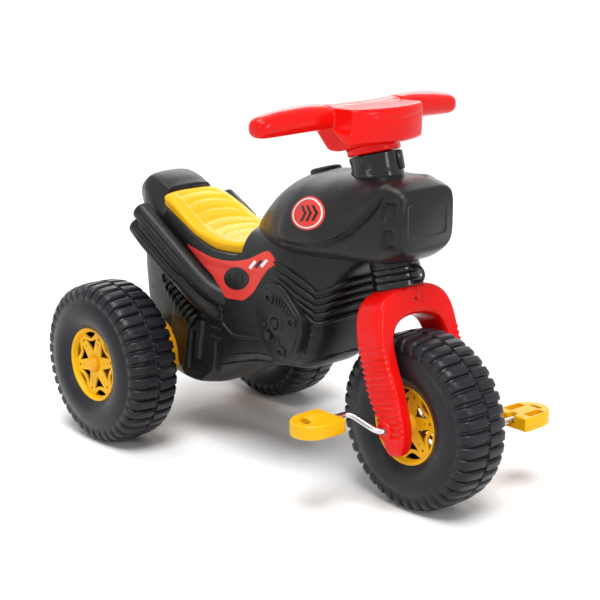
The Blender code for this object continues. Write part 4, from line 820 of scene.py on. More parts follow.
def saddle():
    rings = []
    shares = [0.0, 0.003, 0.008, 0.016] + spaced(0.025, 0.975, 0.008) + [0.984, 0.992, 0.997, 1.0]
    for x in [SEAT_REAR + (SEAT_FRONT - SEAT_REAR) * share for share in shares]:
        ends = min(1.0, (x - SEAT_REAR + 0.0004) / 0.005, (SEAT_FRONT - x + 0.0004) / 0.005)
        low = DATUM + along_seat(SEAT_SHELF, x) + SEAT_GAP
        high = DATUM + along_seat(SEAT_CROWN, x)
        half = along_seat(SEAT_WIDTH, x) - 0.0002
        high = low + (high - low) * (0.55 + 0.45 * ends ** 0.5)
        ring = []
        for k in range(97):
            across = -1.0 + 2.0 * k / 96
            y = half * math.sin(across * math.pi / 2)
            rise = (1.0 - abs(y / half) ** 3.0) ** (1.0 / 3.0) if abs(y) < half else 0.0
            z = low + (high - low) * (0.4 + 0.6 * rise)
            inside = step(half - 0.015 - abs(y), 0.0, 0.007)
            inside *= span(x, SEAT_REAR + BORDER, SEAT_FRONT - BORDER, 0.008)
            wave = math.sin(math.pi * (x - 4.5 * y * y) / RIB_PITCH) ** 2
            z -= inside * (0.0010 + 0.0014 * (1.0 - wave) ** 3)
            ring.append(Vector((x, y, z)))
        ring += [Vector((x, half, low)), Vector((x, half - 0.004, low)), Vector((x, -half + 0.004, low)),
                 Vector((x, -half, low))]
        rings.append(ring)
    return grid_mesh("saddle", rings, angle=75.0)


piece("saddle", saddle(), YELLOW, "yellow_plastic", "frame_body", "seat")


# Seat tongue: a small lip moulded on the black shell's tail, which reaches over the saddle's rear
# edge and holds it down.
tongue = [Vector((x, y, 0.3600)) for x, y in oblong(-0.268, -0.2525, 0.002, 0.030)]
rings = [[p + Vector((0.0, 0.0, dz)) for p in tongue] for dz in (-0.006, 0.0012)]
tongue = bevelled(grid_mesh("seat_tongue", rings), 0.0012, 3, 40.0)
piece("seat_tongue", tongue, BLACK, "black_plastic", "frame_body")


# Filler cap: a mock cap, a low black disc with grip notches round its edge. It's a small moulding by
# itself, set into a shallow seat on top of the tank.
CAP_X, CAP_RADIUS = 0.052, 0.022
low_z, high_z = [DATUM + column(TANK_SHAPE, CAP_X + d, 3) for d in (-CAP_RADIUS, CAP_RADIUS)]
cap_place = (Matrix.Translation((CAP_X, 0.0, (low_z + high_z) / 2))
             @ Matrix.Rotation(-math.atan2(high_z - low_z, 0.044), 4, "Y"))


# radius, height, how much of a notch's depth reaches that far in
CAP_PROFILE = [(0.0, 0.0058, 0.0), (0.008, 0.0058, 0.0), (0.0150, 0.0056, 0.0), (0.0156, 0.0048, 0.0),
               (0.0166, 0.0048, 0.0), (0.0172, 0.0056, 0.0), (0.0196, 0.0052, 0.3), (0.0214, 0.0036, 1.0),
               (0.0220, 0.0015, 1.0), (0.0220, -0.0026, 1.0)]


def notched_cap():
    rings = []
    for r, h, cut in CAP_PROFILE:
        ring = []
        for angle in circle(144):
            bite = 0.0010 * cut * max(0.0, math.cos(24.0 * angle)) ** 2
            ring.append(cap_place @ Vector(((r - bite) * math.cos(angle), (r - bite) * math.sin(angle), h)))
        rings.append(ring)
    return grid_mesh("filler_cap", rings, angle=50.0)


piece("filler_cap_disc", notched_cap(), BLACK, "black_plastic", "frame_body", "filler_cap")


# Headlight: a glossy black panel with a thin raised rim and a shallow dished lens. It's moulded by
# itself and set into a pocket in the front of the tank.
GLOSS = plastic("gloss_black_plastic", rgb(0.006, 0.006, 0.008), rgb(0.010, 0.010, 0.012), (0.12, 0.20),
                (700.0, 0.00010), 0.36)


def headlight():
    width, height, face = 0.0375, 0.0235, 0.2452
    edge = softened(oblong(-width, width, -height, height), 0.008, 5, True)
    rings = []
    for share, level in ((0.97, -0.0025), (1.0, -0.0005), (0.985, 0.0007), (0.93, 0.0008), (0.90, -0.0003),
                         (0.80, -0.0006), (0.5, -0.0001), (0.2, 0.0001), (0.0, 0.0002)):
        rings.append([Vector((face + level, y * share, DATUM + 0.1005 + z * share)) for y, z in edge])
    return grid_mesh("headlight", rings, angle=55.0)


piece("headlight_lens", headlight(), GLOSS, "gloss_black", "frame_body", "headlight_panel")


# Lower steering bearing: a glossy black moulding with three ribs, in which the column turns. Its
# spigot goes up into the shell's head tube, and a small tow eye stands out in front of it.
BEARING_RADIUS, BEARING_TOP = 0.0338, 0.2058
ring_profile = [(0.0138, 0.2180), (0.0138, BEARING_TOP)]
for k in range(3):
    top = BEARING_TOP - 0.00917 * k
    ring_profile += [(BEARING_RADIUS, top - 0.0004), (BEARING_RADIUS, top - 0.0062), (0.0308, top - 0.0070)]
ring_profile = ring_profile[:-1] + [(BEARING_RADIUS, 0.1788), (0.0088, 0.1788), (0.0088, 0.2180)]
bearing = turned("bearing", ring_profile, 96, STEERING, 0.0014)
EYE_RADIUS, EYE_HEIGHT, EYE_PLACE = 0.0098, 0.1925, 0.0405
loop = [(EYE_PLACE + EYE_RADIUS * math.cos(a), EYE_HEIGHT + EYE_RADIUS * math.sin(a))
        for a in [math.radians(-90.0 + 15.0 * k) for k in range(13)]]
loop = [(0.029, EYE_HEIGHT - EYE_RADIUS)] + loop + [(0.029, EYE_HEIGHT + EYE_RADIUS)]
eye = strip("tow_eye", [STEERING @ Vector((x, 0.0, z)) for x, z in loop], 0.0023, 16, GLOSS)
piece("lower_bearing", joined("lower_bearing", [bearing, eye], 45.0), GLOSS, "black_plastic", "frame_body",
      "headset_ring")


# Upper steering bearing: a glossy black sleeve sunk in the top of the tank, which holds the column's
# upper end, with a clamping lug on its front left.
SLEEVE = [(0.0350, 0.3181), (0.0088, 0.3181), (0.0088, 0.3300), (0.0208, 0.3300), (0.0208, 0.3573),
          (0.0338, 0.3573), (0.0350, 0.3560), (0.0345, 0.3520), (0.0337, 0.3460), (0.0337, 0.3370),
          (0.0347, 0.3300)]
sleeve = turned("sleeve", SLEEVE, 96, STEERING, 0.0010)
lug_place = STEERING @ Matrix.Rotation(math.radians(22.0), 4, "Z")
lug_rings = []
for r, half, low, high in ((0.0315, 0.0045, 0.3310, 0.3568), (0.0375, 0.0043, 0.3315, 0.3564),
                           (0.0388, 0.0032, 0.3325, 0.3552)):
    lug_rings.append([lug_place @ Vector((r, y, s)) for y, s in oblong(-half, half, low, high)])
lug = bevelled(grid_mesh("lug", lug_rings), 0.0010, 3, 50.0)
piece("upper_bearing", joined("upper_bearing", [sleeve, lug], 45.0), GLOSS, "gloss_black", "frame_body",
      "steering_collar")


# Tyres: hollow blow-moulded black plastic, with two rows of forty chunky lugs half a pitch apart, a
# parting line between the rows and a smooth bulged side wall. One pitch is made and then repeated.
TYRE = plastic("tyre_black_plastic", rgb(0.013, 0.013, 0.017), rgb(0.008, 0.008, 0.011), (0.24, 0.36),
               (1100.0, 0.0005), 0.26)
LUGS = 40
LUG_HEIGHT = 0.0048
WIDEST, OUTERMOST = 0.0449, 0.1199
# radius, distance from the wheel's middle plane, share of a lug's height
TYRE_SIDE = [(0.0525, 0.0310, 0.0), (0.0540, 0.0342, 0.0), (0.0560, 0.0362, 0.0), (0.0600, 0.0392, 0.0),
             (0.0640, 0.0418, 0.0), (0.0690, 0.0438, 0.0), (0.0740, 0.0447, 0.0), (0.0790, 0.0449, 0.0),
             (0.0840, 0.0444, 0.0), (0.0890, 0.0434, 0.0), (0.0930, 0.0420, 0.0), (0.0955, 0.0408, 0.0),
             (0.0968, 0.0400, 0.0), (0.0985, 0.0396, 0.25), (0.1000, 0.0394, 0.85), (0.1020, 0.0388, 1.0),
             (0.1045, 0.0378, 1.0), (0.1075, 0.0360, 1.0), (0.1100, 0.0338, 1.0), (0.1122, 0.0308, 1.0),
             (0.1134, 0.0270, 1.0), (0.1141, 0.0225, 1.0), (0.1146, 0.0180, 1.0), (0.1149, 0.0135, 1.0),
             (0.1151, 0.0090, 1.0), (0.1152, 0.0050, 1.0), (0.1152, 0.0024, 1.0), (0.1152, 0.0013, 0.35),
             (0.1152, 0.0006, 0.1)]
TYRE_INSIDE = [(0.1080, 0.0), (0.1040, 0.0320), (0.0800, 0.0395), (0.0525, 0.0265)]


def tyre_segment():
    half = math.pi / LUGS
    rings = []
    for number in range(13):
        t = number / 12
        ring = []
        for side in (RIGHT, LEFT):
            phase = (t + (0.5 if side == LEFT else 0.0)) % 1.0
            lift = 1.0 - step(abs(phase - 0.5), 0.30, 0.39)
            row = []
            for r, h, lug in TYRE_SIDE:
                rise = LUG_HEIGHT * lug * lift
                out = Vector((1.0, 0.35)).normalized() if h > 0.030 else Vector((1.0, 0.0))
                row.append((min(r + rise * out.x, OUTERMOST), side * min(h + rise * out.y * 0.8, WIDEST)))
            ring += row if side == RIGHT else row[::-1]
        ring += TYRE_INSIDE[::-1] + [(r, -h) for r, h in TYRE_INSIDE[1:]]
        angle = -half + 2.0 * half * t
        rings.append([Vector((r * math.cos(angle), r * math.sin(angle), h)) for r, h in ring])
    return grid_mesh("tyre_segment", rings, ends=False)


tyre_mesh = grown(raw(tyre_segment()), REPEAT, TYRE, 50.0, Count=LUGS)
HALF_TRACK = 0.161
WHEELS = (("front", "front_wheel_body", (FRONT, 0.0, AXLE_HEIGHT)),
          ("rear_right", "rear_wheel_right_body", (REAR, -HALF_TRACK, AXLE_HEIGHT)),
          ("rear_left", "rear_wheel_left_body", (REAR, HALF_TRACK, AXLE_HEIGHT)))
for number, (name, rider, middle) in enumerate(WHEELS):
    mesh = tyre_mesh.copy()
    mesh.transform(Matrix.Translation(middle) @ outward(RIGHT) @ Matrix.Rotation(0.06 * number, 4, "Z"))
    piece("tyre_tread_" + name, mesh, TYRE, "tyre_black", rider, "tyre_" + name)


# Rims: snap-in yellow mouldings, each a thin ring on the tyre's bead, six spokes with three round holes
# growing outward, and between the spokes a small arch that bows in from the ring towards the hub.
ORANGE = plastic("orange_plastic", rgb(0.88, 0.40, 0.006), rgb(0.78, 0.32, 0.004), (0.24, 0.38),
                 (900.0, 0.00025))


def round_points(radius, middle=(0.0, 0.0), count=28):
    return [(middle[0] + radius * math.cos(a), middle[1] + radius * math.sin(a)) for a in circle(count)]


def polar(points, turn):
    return [(r * math.cos(turn + math.radians(a)), r * math.sin(turn + math.radians(a))) for r, a in points]


def bowed(edge, middle, angles):
    """Radius and angle along an arc that dips from edge at its ends to middle."""
    last = max(abs(a) for a in angles)
    return [(middle + (edge - middle) * (a / last) ** 2, a) for a in angles]


def spoked_plate(name, hub):
    """A flat plate with rounded edges, cut from a ring of outlines."""
    outlines = [round_points(0.0512, count=120), round_points(hub, count=40)]
    sweep = [-21.5 + 43.0 * k / 12 for k in range(13)]
    lens = [-18.0 + 36.0 * k / 12 for k in range(13)]
    for k in range(6):
        turn = math.pi / 3 * k
        window = [(0.0175, 0.0)] + bowed(0.0418, 0.0350, sweep)
        outlines.append(softened(polar(window, turn + math.pi / 6), 0.0012, 3, True))
        outlines.append(softened(polar([(0.0490, a) for a in lens] + bowed(0.0475, 0.0385, lens[::-1]),
                                       turn + math.pi / 6), 0.0010, 3, True))
        for r, size in ((0.0245, 0.0014), (0.0320, 0.0020), (0.0415, 0.0029)):
            outlines.append(round_points(size, (r * math.cos(turn), r * math.sin(turn)), 20))
    curve = bpy.data.curves.new(name, "CURVE")
    curve.dimensions = "2D"
    curve.fill_mode = "BOTH"
    curve.extrude = 0.0012
    curve.bevel_depth = 0.0006
    curve.bevel_resolution = 2
    for outline in outlines:
        line = curve.splines.new("POLY")
        line.points.add(len(outline) - 1)
        for slot, point in zip(line.points, outline):
            slot.co = (*point, 0.0, 1.0)
        line.use_cyclic_u = True
    mesh = baked(raw(curve), 50.0)
    mesh.transform(Matrix.Translation((0.0, 0.0, 0.0277)))
    return mesh


RIM_RING = [(0.0555, 0.0350), (0.0555, 0.0337), (0.0520, 0.0313), (0.0520, 0.0200), (0.0500, 0.0200),
            (0.0495, 0.0300), (0.0512, 0.0345), (0.0530, 0.0357)]


def rim(name, hub, place):
    ring = turned("ring", RIM_RING, 120, Matrix(), 0.0009)
    shapes = [ring, spoked_plate(name + "_plate", 0.0048), turned("hub", hub, 72, Matrix(), 0.0012)]
    mesh = joined(name, shapes, 50.0)
    mesh.transform(place)
    return mesh


FRONT_HUB = [(0.0050, 0.0100), (0.0120, 0.0100), (0.0125, 0.0262), (0.0185, 0.0292), (0.0150, 0.0330),
             (0.0122, 0.0400), (0.0110, 0.0484), (0.0050, 0.0484)]
REAR_HUB = [(0.0058, 0.0010), (0.0120, 0.0010), (0.0125, 0.0262), (0.0185, 0.0292), (0.0160, 0.0300),
            (0.0058, 0.0300)]
DOME = [(0.0, 0.0406), (0.0035, 0.0405), (0.0066, 0.0398), (0.0092, 0.0385), (0.0112, 0.0364),
        (0.0124, 0.0338), (0.0127, 0.0304), (0.0105, 0.0304), (0.0095, 0.0340), (0.0, 0.0375)]
DRUM = [(0.0470, 0.0895), (0.0500, 0.0888), (0.0518, 0.0868), (0.0522, 0.0840), (0.0522, 0.0372),
        (0.0552, 0.0366), (0.0555, 0.0338), (0.0522, 0.0316), (0.0522, 0.0105), (0.0492, 0.0105),
        (0.0492, 0.0865), (0.0130, 0.0865), (0.0130, 0.0004), (0.0056, 0.0004), (0.0056, 0.0895)]
for name, side in SIDES:
    face = outward(side)
    at_front = Matrix.Translation((FRONT, 0.0, AXLE_HEIGHT)) @ face
    at_rear = Matrix.Translation((REAR, side * HALF_TRACK, AXLE_HEIGHT))
    spin = Matrix.Rotation(math.radians(14.0), 4, "Z")
    front_rim = rim("rim_front", FRONT_HUB, at_front @ spin)
    piece("spoked_rim_front_" + name, front_rim, YELLOW, "yellow_plastic", "front_wheel_body",
          "rim_front_" + name)
    rear_rim = rim("rim_rear", REAR_HUB, at_rear @ face @ spin)
    rider = "rear_wheel_" + name + "_body"
    piece("spoked_rim_rear_" + name, rear_rim, YELLOW, "yellow_plastic", rider, "rim_rear_" + name + "_outer")
    dome = turned("cap", DOME, 64, at_rear @ face, 0.0, False)
    piece("hub_dome_" + name, dome, ORANGE, "orange_plastic", rider, "hub_cap_rear_" + name)
    drum = turned("drum", DRUM, 120, at_rear @ outward(-side), 0.0006)
    piece("wheel_drum_" + name, drum, ORANGE, "orange_plastic", rider, "rim_rear_" + name + "_inner")


# Fork: a hollow red arch over the front wheel, with a flat raised band down its crown, a crease where
# its front and outer faces meet, and fifteen grip ribs round the outside of each leg.
RED = plastic("red_plastic", rgb(0.80, 0.006, 0.004), rgb(0.70, 0.004, 0.003), (0.14, 0.22),
              (900.0, 0.00022), 0.18)
# the arch seen from the front: distance from the middle, height up the steering axis
OUTER = [(0.0640, -0.0370), (0.0690, -0.0290), (0.0702, -0.0150), (0.0706, 0.0), (0.0714, 0.030),
         (0.0722, 0.060), (0.0724, 0.090), (0.0724, 0.115), (0.0712, 0.132), (0.0680, 0.147),
         (0.0620, 0.160), (0.0530, 0.1695), (0.0410, 0.1760), (0.0280, 0.1795), (0.0140, 0.1810),
         (0.0, 0.1812)]
INNER = [(0.0530, -0.0365), (0.0495, -0.0300), (0.0492, -0.0150), (0.0492, 0.0), (0.0492, 0.030),
         (0.0492, 0.060), (0.0490, 0.085), (0.0484, 0.104), (0.0460, 0.116), (0.0415, 0.1255),
         (0.0350, 0.1320), (0.0270, 0.1362), (0.0200, 0.1382), (0.0130, 0.1394), (0.0065, 0.1399),
         (0.0, 0.1400)]
# the arch seen from the side: height up the steering axis, distance ahead of it
FORK_FRONT = [(-0.037, 0.0130), (-0.030, 0.0200), (-0.015, 0.0285), (0.008, 0.0325), (0.040, 0.0325),
              (0.080, 0.0285), (0.120, 0.0262), (0.160, 0.0270), (0.182, 0.0262)]
FORK_REAR = [(-0.037, -0.0030), (-0.030, -0.0070), (-0.015, -0.0104), (0.0, -0.0110), (0.012, -0.0135),
             (0.028, -0.0172), (0.045, -0.0215), (0.120, -0.0235), (0.182, -0.0235)]


def fork_mesh():
    outer, inner = [curve_through([(y, 0.0, s) for y, s in edge], 14) for edge in (OUTER, INNER)]
    pairs = list(zip(outer, inner))
    pairs += [(Vector((-a.x, 0.0, a.z)), Vector((-b.x, 0.0, b.z))) for a, b in pairs[-2::-1]]
    rings = []
    last = len(pairs) - 1
    for number, (outside, inside) in enumerate(pairs):
        middle = (outside + inside) / 2
        reach = (outside - inside) / 2
        s = outside.z
        front, rear = smooth_line(FORK_FRONT, s), smooth_line(FORK_REAR, s)
        close = math.sin(min(1.0, (min(number, last - number) + 0.2) / 5.0) * math.pi / 2)
        leg = span(s, -0.012, 0.112, 0.004)
        wave = math.cos(2.0 * math.pi * (s + 0.012) / 0.0083)
        band = 1.0 - step(abs(outside.x), 0.0095, 0.0120)
        ring = []
        for angle in circle(72):
            across, along = oval(angle, 0.36)
            t = (front + rear) / 2 + (front - rear) / 2 * along * close
            behind = 0.75 * step(-along, 0.6, 0.95) * step(across, -0.6, 0.2)
            ahead = 0.35 * step(along, 0.6, 0.95) * step(across, 0.0, 0.6)
            lift = leg * 0.0009 * wave * (step(across, 0.55, 0.9) + behind + ahead)
            ridge = 0.0010 * step(across, 0.80, 0.98) * step(along, 0.80, 0.98)
            faces = step(across, 0.5, 0.9), step(along, 0.7, 0.95), step(-along, 0.7, 0.95)
            swell = band * 0.0016 * max(faces)
            place = middle + reach * across * close
            place = place + reach.normalized() * (lift + ridge + swell) * max(across, 0.0)
            t += (lift * 0.8 + ridge + swell) * along
            ring.append(STEERING @ Vector((t, place.x, place.z)))
        rings.append(ring)
    return grid_mesh("fork", rings, angle=48.0)


holes, bosses = [], []
for side in (RIGHT, LEFT):
    place = STEERING @ Matrix.Translation((0.0, side * 0.0705, 0.0)) @ outward(side)
    holes.append(rod("crank_hole", 0.0052, -0.0225, 0.010, 40, place))
    bosses.append(turned("crank_boss", [(0.0, -0.010), (0.0140, -0.010), (0.0132, 0.0010), (0.0116, 0.0028),
                                        (0.0, 0.0028)], 48, place, 0.0, False))
pin_hole = rod("pin_hole", 0.0033, -0.05, 0.05, 24,
               STEERING @ Matrix.Translation((0.0, 0.0, 0.160)) @ Matrix.Rotation(math.pi / 2, 4, "Y"))
fork = carved(carved(fork_mesh(), "UNION", *bosses), "DIFFERENCE", *holes, pin_hole, angle=42.0)
fork.name = "fork_moulding"
piece("fork_moulding", fork, RED, "red_plastic", "steering_body", "fork")


# Crank: one bent and plated steel rod, which is front axle, both crank arms and both pedal spindles.
# It's flattened inside the rims, so that it turns the front wheel.
def metal(name, light, dark, rough):
    look = Look(name)
    scratch = look.noise(220.0, 4.0, 0.65)
    drift = look.noise(30.0, 2.0)
    return look.finish(Base_Color=look.blend(look.spread(drift, 0.0, 1.0), light, dark), Metallic=1.0,
                       Roughness=look.spread(scratch, *rough), Normal=look.bump(scratch, 0.15, 0.0002))


STEEL = metal("plated_steel", rgb(0.72, 0.72, 0.75), rgb(0.55, 0.55, 0.58), (0.16, 0.34))
PLANE, PEDAL_START, SPINDLE_END = 0.0813, 0.1113, 0.1672
CRANK_RADIUS, CRANK_ANGLE = 0.058, math.radians(168.0)
TIP_X, TIP_Z = CRANK_RADIUS * math.cos(CRANK_ANGLE), CRANK_RADIUS * math.sin(CRANK_ANGLE)


def rod_line(corners, radius, steps=8):
    made = []
    for i, corner in enumerate(corners):
        if i in (0, len(corners) - 1):
            made.append(Vector(corner))
            continue
        before = (Vector(corners[i - 1]) - Vector(corner)).normalized()
        after = (Vector(corners[i + 1]) - Vector(corner)).normalized()
        for k in range(steps + 1):
            t = k / steps
            made.append(Vector(corner) + before * radius * (1 - t) ** 2 + after * radius * t * t)
    return made


corners = [(TIP_X, -SPINDLE_END, TIP_Z), (TIP_X, -PLANE, TIP_Z), (0.0, -PLANE, 0.0), (0.0, PLANE, 0.0),
           (-TIP_X, PLANE, -TIP_Z), (-TIP_X, SPINDLE_END, -TIP_Z)]
axle_line = [Vector((FRONT, 0.0, AXLE_HEIGHT)) + p for p in rod_line(corners, 0.013)]
bent = strip("crank_rod", axle_line, 0.0040, 24, STEEL)
key_edge = softened(oblong(-0.009, 0.009, -0.012, 0.012), 0.002, 3, True)
key = grid_mesh("drive_key", [[Vector((FRONT + x, y, AXLE_HEIGHT + level)) for x, y in key_edge]
                              for level in (-0.0015, 0.0015)])
piece("crank_rod", joined("crank_rod", [bent, key], 50.0), STEEL, "plated_steel", "front_wheel_body", "crank")


# Pedals: short yellow blocks with a flat inner end and a round outer end, a hump over the spindle, a
# slot near the outer end and pockets in one face. The far one has turned over and shows its pockets.
def block(name, outline, levels):
    """An outline lifted through levels of (height, inset)."""
    middle = centre(outline)
    rings = []
    for height, inset in levels:
        ring = []
        for p in outline:
            away = Vector((p[0] - middle[0], p[1] - middle[1]))
            x, y = p[0] - away.x / away.length * inset, p[1] - away.y / away.length * inset
            ring.append(Vector((x, y, height)))
        rings.append(ring)
    return grid_mesh(name, rings, angle=50.0)


def pedal(flip):
    """A pedal with its spindle along Y, its inner end at zero and its pockets in its lower face."""
    half, length = 0.0284, 0.0658
    edge = [(-half * 0.90, 0.0), (half * 0.90, 0.0)]
    edge += [(half * (1.0 - 0.10 * (1.0 - k / 6) ** 2), 0.006 * k / 6) for k in range(1, 7)]
    edge += [(half * math.cos(a), length * 0.52 + length * 0.48 * math.sin(a))
             for a in [math.pi * k / 40 for k in range(41)]]
    edge += [(-half * (1.0 - 0.10 * (k / 6) ** 2), 0.006 * (1.0 - k / 6)) for k in range(1, 6)]
    low, high = -0.0125, 0.0070
    drop = 0.0045 if flip else 0.0
    levels = (low, 0.0016), (low + 0.0016, 0.0), (high - 0.002, 0.0), (high, 0.002)
    shell = block("pedal_shell", edge, levels)
    hump_rings = []
    for y in spaced(0.003, 0.050, 0.004):
        rise = math.sin(math.pi * min(1.0, (y + 0.002) / 0.058)) ** 0.8
        hump_rings.append([Vector((0.0150 * math.cos(a), y, high - 0.003 + 0.0110 * rise * math.sin(a)))
                           for a in circle(24, 0.5)])
    spindle = Matrix.Translation((0.0, 0.0, -drop)) @ outward(LEFT)
    cutters = [rod("pedal_bore", 0.0046, -0.01, 0.0600, 24, spindle)]
    # both ends across, both ends along the spindle, top: the slot, two pockets and the spindle's way in
    slots = [(-0.0110, 0.0075, 0.0460, 0.0530, 0.0300), (0.0108, 0.0238, 0.0125, 0.0425, -0.0010),
             (-0.0238, -0.0108, 0.0125, 0.0425, -0.0010), (-0.0060, 0.0060, -0.002, 0.010, 0.0)]
    for x0, x1, y0, y1, top in slots:
        box = softened(oblong(x0, x1, y0, y1), 0.0015, 3, True)
        cutters.append(block("pocket", box, ((low - 0.01, 0.0), (top, 0.0))))
    made = carved(shell, "UNION", grid_mesh("pedal_hump", hump_rings))
    made = carved(made, "DIFFERENCE", *cutters)
    if flip:
        made.transform(Matrix.Rotation(math.pi, 4, "Y"))
        made.transform(Matrix.Translation((0.0, 0.0, -drop)))
    return made


for name, side in SIDES:
    mesh = pedal(side == LEFT)
    away = Matrix.Rotation(math.pi, 4, "Z") if side == RIGHT else Matrix()
    inner_end = (FRONT - side * TIP_X, side * PEDAL_START, AXLE_HEIGHT - side * TIP_Z)
    mesh.transform(Matrix.Translation(inner_end) @ away)
    piece("pedal_block_" + name, mesh, YELLOW, "yellow_plastic", "pedal_" + name + "_body", "pedal_" + name)


# Handlebar: one hollow red moulding, two flattened grips that sweep out from a block with a bulged
# front, and a slanted neck that ends in a collar on the steering column.
LEVEL = Matrix.Translation((FRONT - CROWN * math.sin(RAKE), 0.0, DATUM))
BLOCK_HALF = 0.0650
# distance from the middle, place ahead, height, half depth, half height
GRIPS = [(0.0, -0.078, 0.2225, 0.0210, 0.0148), (0.050, -0.079, 0.2240, 0.0200, 0.0150),
         (0.072, -0.079, 0.2245, 0.0200, 0.0165), (0.092, -0.079, 0.2250, 0.0200, 0.0170),
         (0.130, -0.081, 0.2235, 0.0190, 0.0165), (0.160, -0.083, 0.2210, 0.0175, 0.0148),
         (0.172, -0.083, 0.2200, 0.0155, 0.0132), (0.1775, -0.083, 0.2195, 0.0120, 0.0105),
         (0.1797, -0.083, 0.2193, 0.0070, 0.0060)]


def grip_bar():
    rings = []
    tips = [0.172, 0.1775, 0.1797]
    for y in [-tip for tip in tips[::-1]] + spaced(-0.168, 0.168, 0.004) + tips:
        x, z, depth, height = [column(GRIPS, abs(y), number) for number in (1, 2, 3, 4)]
        ring = []
        for angle in circle(56):
            across, up = oval(angle, 0.8)
            ring.append(LEVEL @ Vector((x + across * depth, y, z + up * height)))
        rings.append(ring)
    return grid_mesh("grip_bar", rings)


def bar_block():
    rings = []
    for y in spaced(-BLOCK_HALF, BLOCK_HALF, 0.0025):
        share = y / BLOCK_HALF
        front = -0.023 + 0.017 * (1.0 - share ** 2) - 0.004 * step(abs(share), 0.90, 1.0)
        side = [(front - 0.004, 0.239), (front, 0.235), (front - 0.001, 0.195), (front - 0.006, 0.191),
                (-0.046, 0.197), (-0.063, 0.209), (-0.100, 0.217), (-0.100, 0.236)]
        rings.append([LEVEL @ Vector((x, y, z)) for x, z in softened(side, 0.006, 4, True)])
    return grid_mesh("bar_block", rings)


NECK_SIDE = [(-0.117, 0.201), (-0.090, 0.176), (-0.072, 0.177), (-0.046, 0.185), (-0.031, 0.190),
             (-0.031, 0.221), (-0.111, 0.221)]
neck_edge = softened(NECK_SIDE, 0.005, 4, True)
neck_block = grid_mesh("neck_block", [[LEVEL @ Vector((x, y, z)) for x, z in neck_edge]
                                      for y in (-0.045, 0.045)])
neck = turned("neck", [(0.0, 0.372), (0.036, 0.372), (0.036, 0.3600), (0.0345, 0.3582), (0.020, 0.3582),
                       (0.020, 0.3320), (0.0, 0.3320)], 72, STEERING, 0.0, False)
bar = raw(joined("handlebar", [grip_bar(), bar_block(), neck_block, neck]))
voxels = bar.modifiers.new("one_skin", "REMESH")
voxels.mode = "VOXEL"
voxels.voxel_size = 0.0016
calm = bar.modifiers.new("calm", "SMOOTH")
calm.factor = 0.5
calm.iterations = 5
bar = baked(bar, 60.0)


def bar_crease(point):
    """Depth of the moulding's creases: at the root of each grip and across the front of the block."""
    y, z = point.y, point.z - DATUM
    x = point.x - LEVEL.translation.x
    wave = 0.2300 - 0.0075 * step(y, -0.030, 0.000) + 0.0030 * step(y, 0.010, 0.050)
    line = math.exp(-((z - wave) / 0.0012) ** 2) * step(x, -0.030, -0.022) * span(y, -0.036, 0.050, 0.004)
    root = math.exp(-((abs(y) - BLOCK_HALF) / 0.0018) ** 2) * step(z, 0.205, 0.212)
    return 0.0009 * line + 0.0016 * root


shape = bmesh.new()
shape.from_mesh(bar)
shape.normal_update()
moves = [(v, v.normal * bar_crease(v.co)) for v in shape.verts]
for vert, move in moves:
    vert.co -= move
shape.to_mesh(bar)
shape.free()
bar.shade_smooth()
piece("handlebar_moulding", bar, RED, "red_plastic", "steering_body", "handlebar")


# Hidden fittings keep the frame's own shapes: axle, nuts, column and pins in plated steel, and the
# bushes in which axle and crank turn in natural nylon.
NYLON = plastic("natural_nylon", rgb(0.62, 0.61, 0.57), rgb(0.52, 0.51, 0.47), (0.35, 0.50),
                (800.0, 0.0002))
FITTINGS = {NYLON: ("axle_bush", "fork_bush"),
            STEEL: ("rear_axle", "axle_nut", "steering_column", "handlebar_pin", "fork_pin", "pedal_nut")}
for name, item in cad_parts.items():
    for material, starts in FITTINGS.items():
        if name.startswith(starts):
            item.data.materials.clear()
            item.data.materials.append(material)


# Stickers: printed films about 0.3 mm thick on both sides, laid on the skin by casting each point of
# their outlines onto it. A red disc on the tank, and a red swept field under the saddle with an oval badge.
FILM_GRAIN = (600.0, 0.0001)
FILM_RED = plastic("film_red", rgb(0.72, 0.050, 0.036), rgb(0.64, 0.036, 0.026), (0.28, 0.40), FILM_GRAIN)
FILM_WHITE = plastic("film_white", rgb(0.80, 0.80, 0.80), rgb(0.70, 0.70, 0.70), (0.28, 0.40), FILM_GRAIN)
FILM_BLACK = plastic("film_black", rgb(0.010, 0.010, 0.011), rgb(0.006, 0.006, 0.007), (0.30, 0.42),
                     FILM_GRAIN)
FIRST_LAYER, SECOND_LAYER, BADGE_LAYER = 0.0003, 0.0006, 0.0008
BADGE_X, BADGE_Z, BADGE_SLOPE = -0.0527, 0.2682, 0.17


def film(outline, side, lift, inner=None, dome=0.0):
    """A thin film between an outline and its middle, or an inner outline, laid on one side of the body."""
    inner = inner or shifted(outline, 0.02)
    rings = []
    for share in (0.0, 0.15, 0.3, 0.45, 0.6, 0.75, 0.88, 0.96, 1.0):
        rise = lift + dome * (1.0 - share ** 2.5)
        rings.append([on_side(a[0] + (b[0] - a[0]) * share, a[1] + (b[1] - a[1]) * share, side, rise)
                      for a, b in zip(inner, outline)])
    rings.append([on_side(x, z, side, -0.0004) for x, z in outline])
    rings.insert(0, [on_side(x, z, side, -0.0004) for x, z in inner])
    return grid_mesh("film", rings, angle=40.0, ends=False)


def dense(outline, pitch=0.002):
    """An outline with points added, none further apart than the pitch."""
    made = []
    for a, b in zip(outline, outline[1:] + outline[:1]):
        count = max(1, math.ceil(math.dist(a, b) / pitch))
        made += [(a[0] + (b[0] - a[0]) * k / count, a[1] + (b[1] - a[1]) * k / count) for k in range(count)]
    return made


def on_disc(u, v):
    """A place on the tank's round sticker, one at its edge, as a place and height on the body."""
    return 0.1040 + 0.0325 * u - 0.0095 * v, 0.3880 + 0.0065 * u + 0.0200 * v


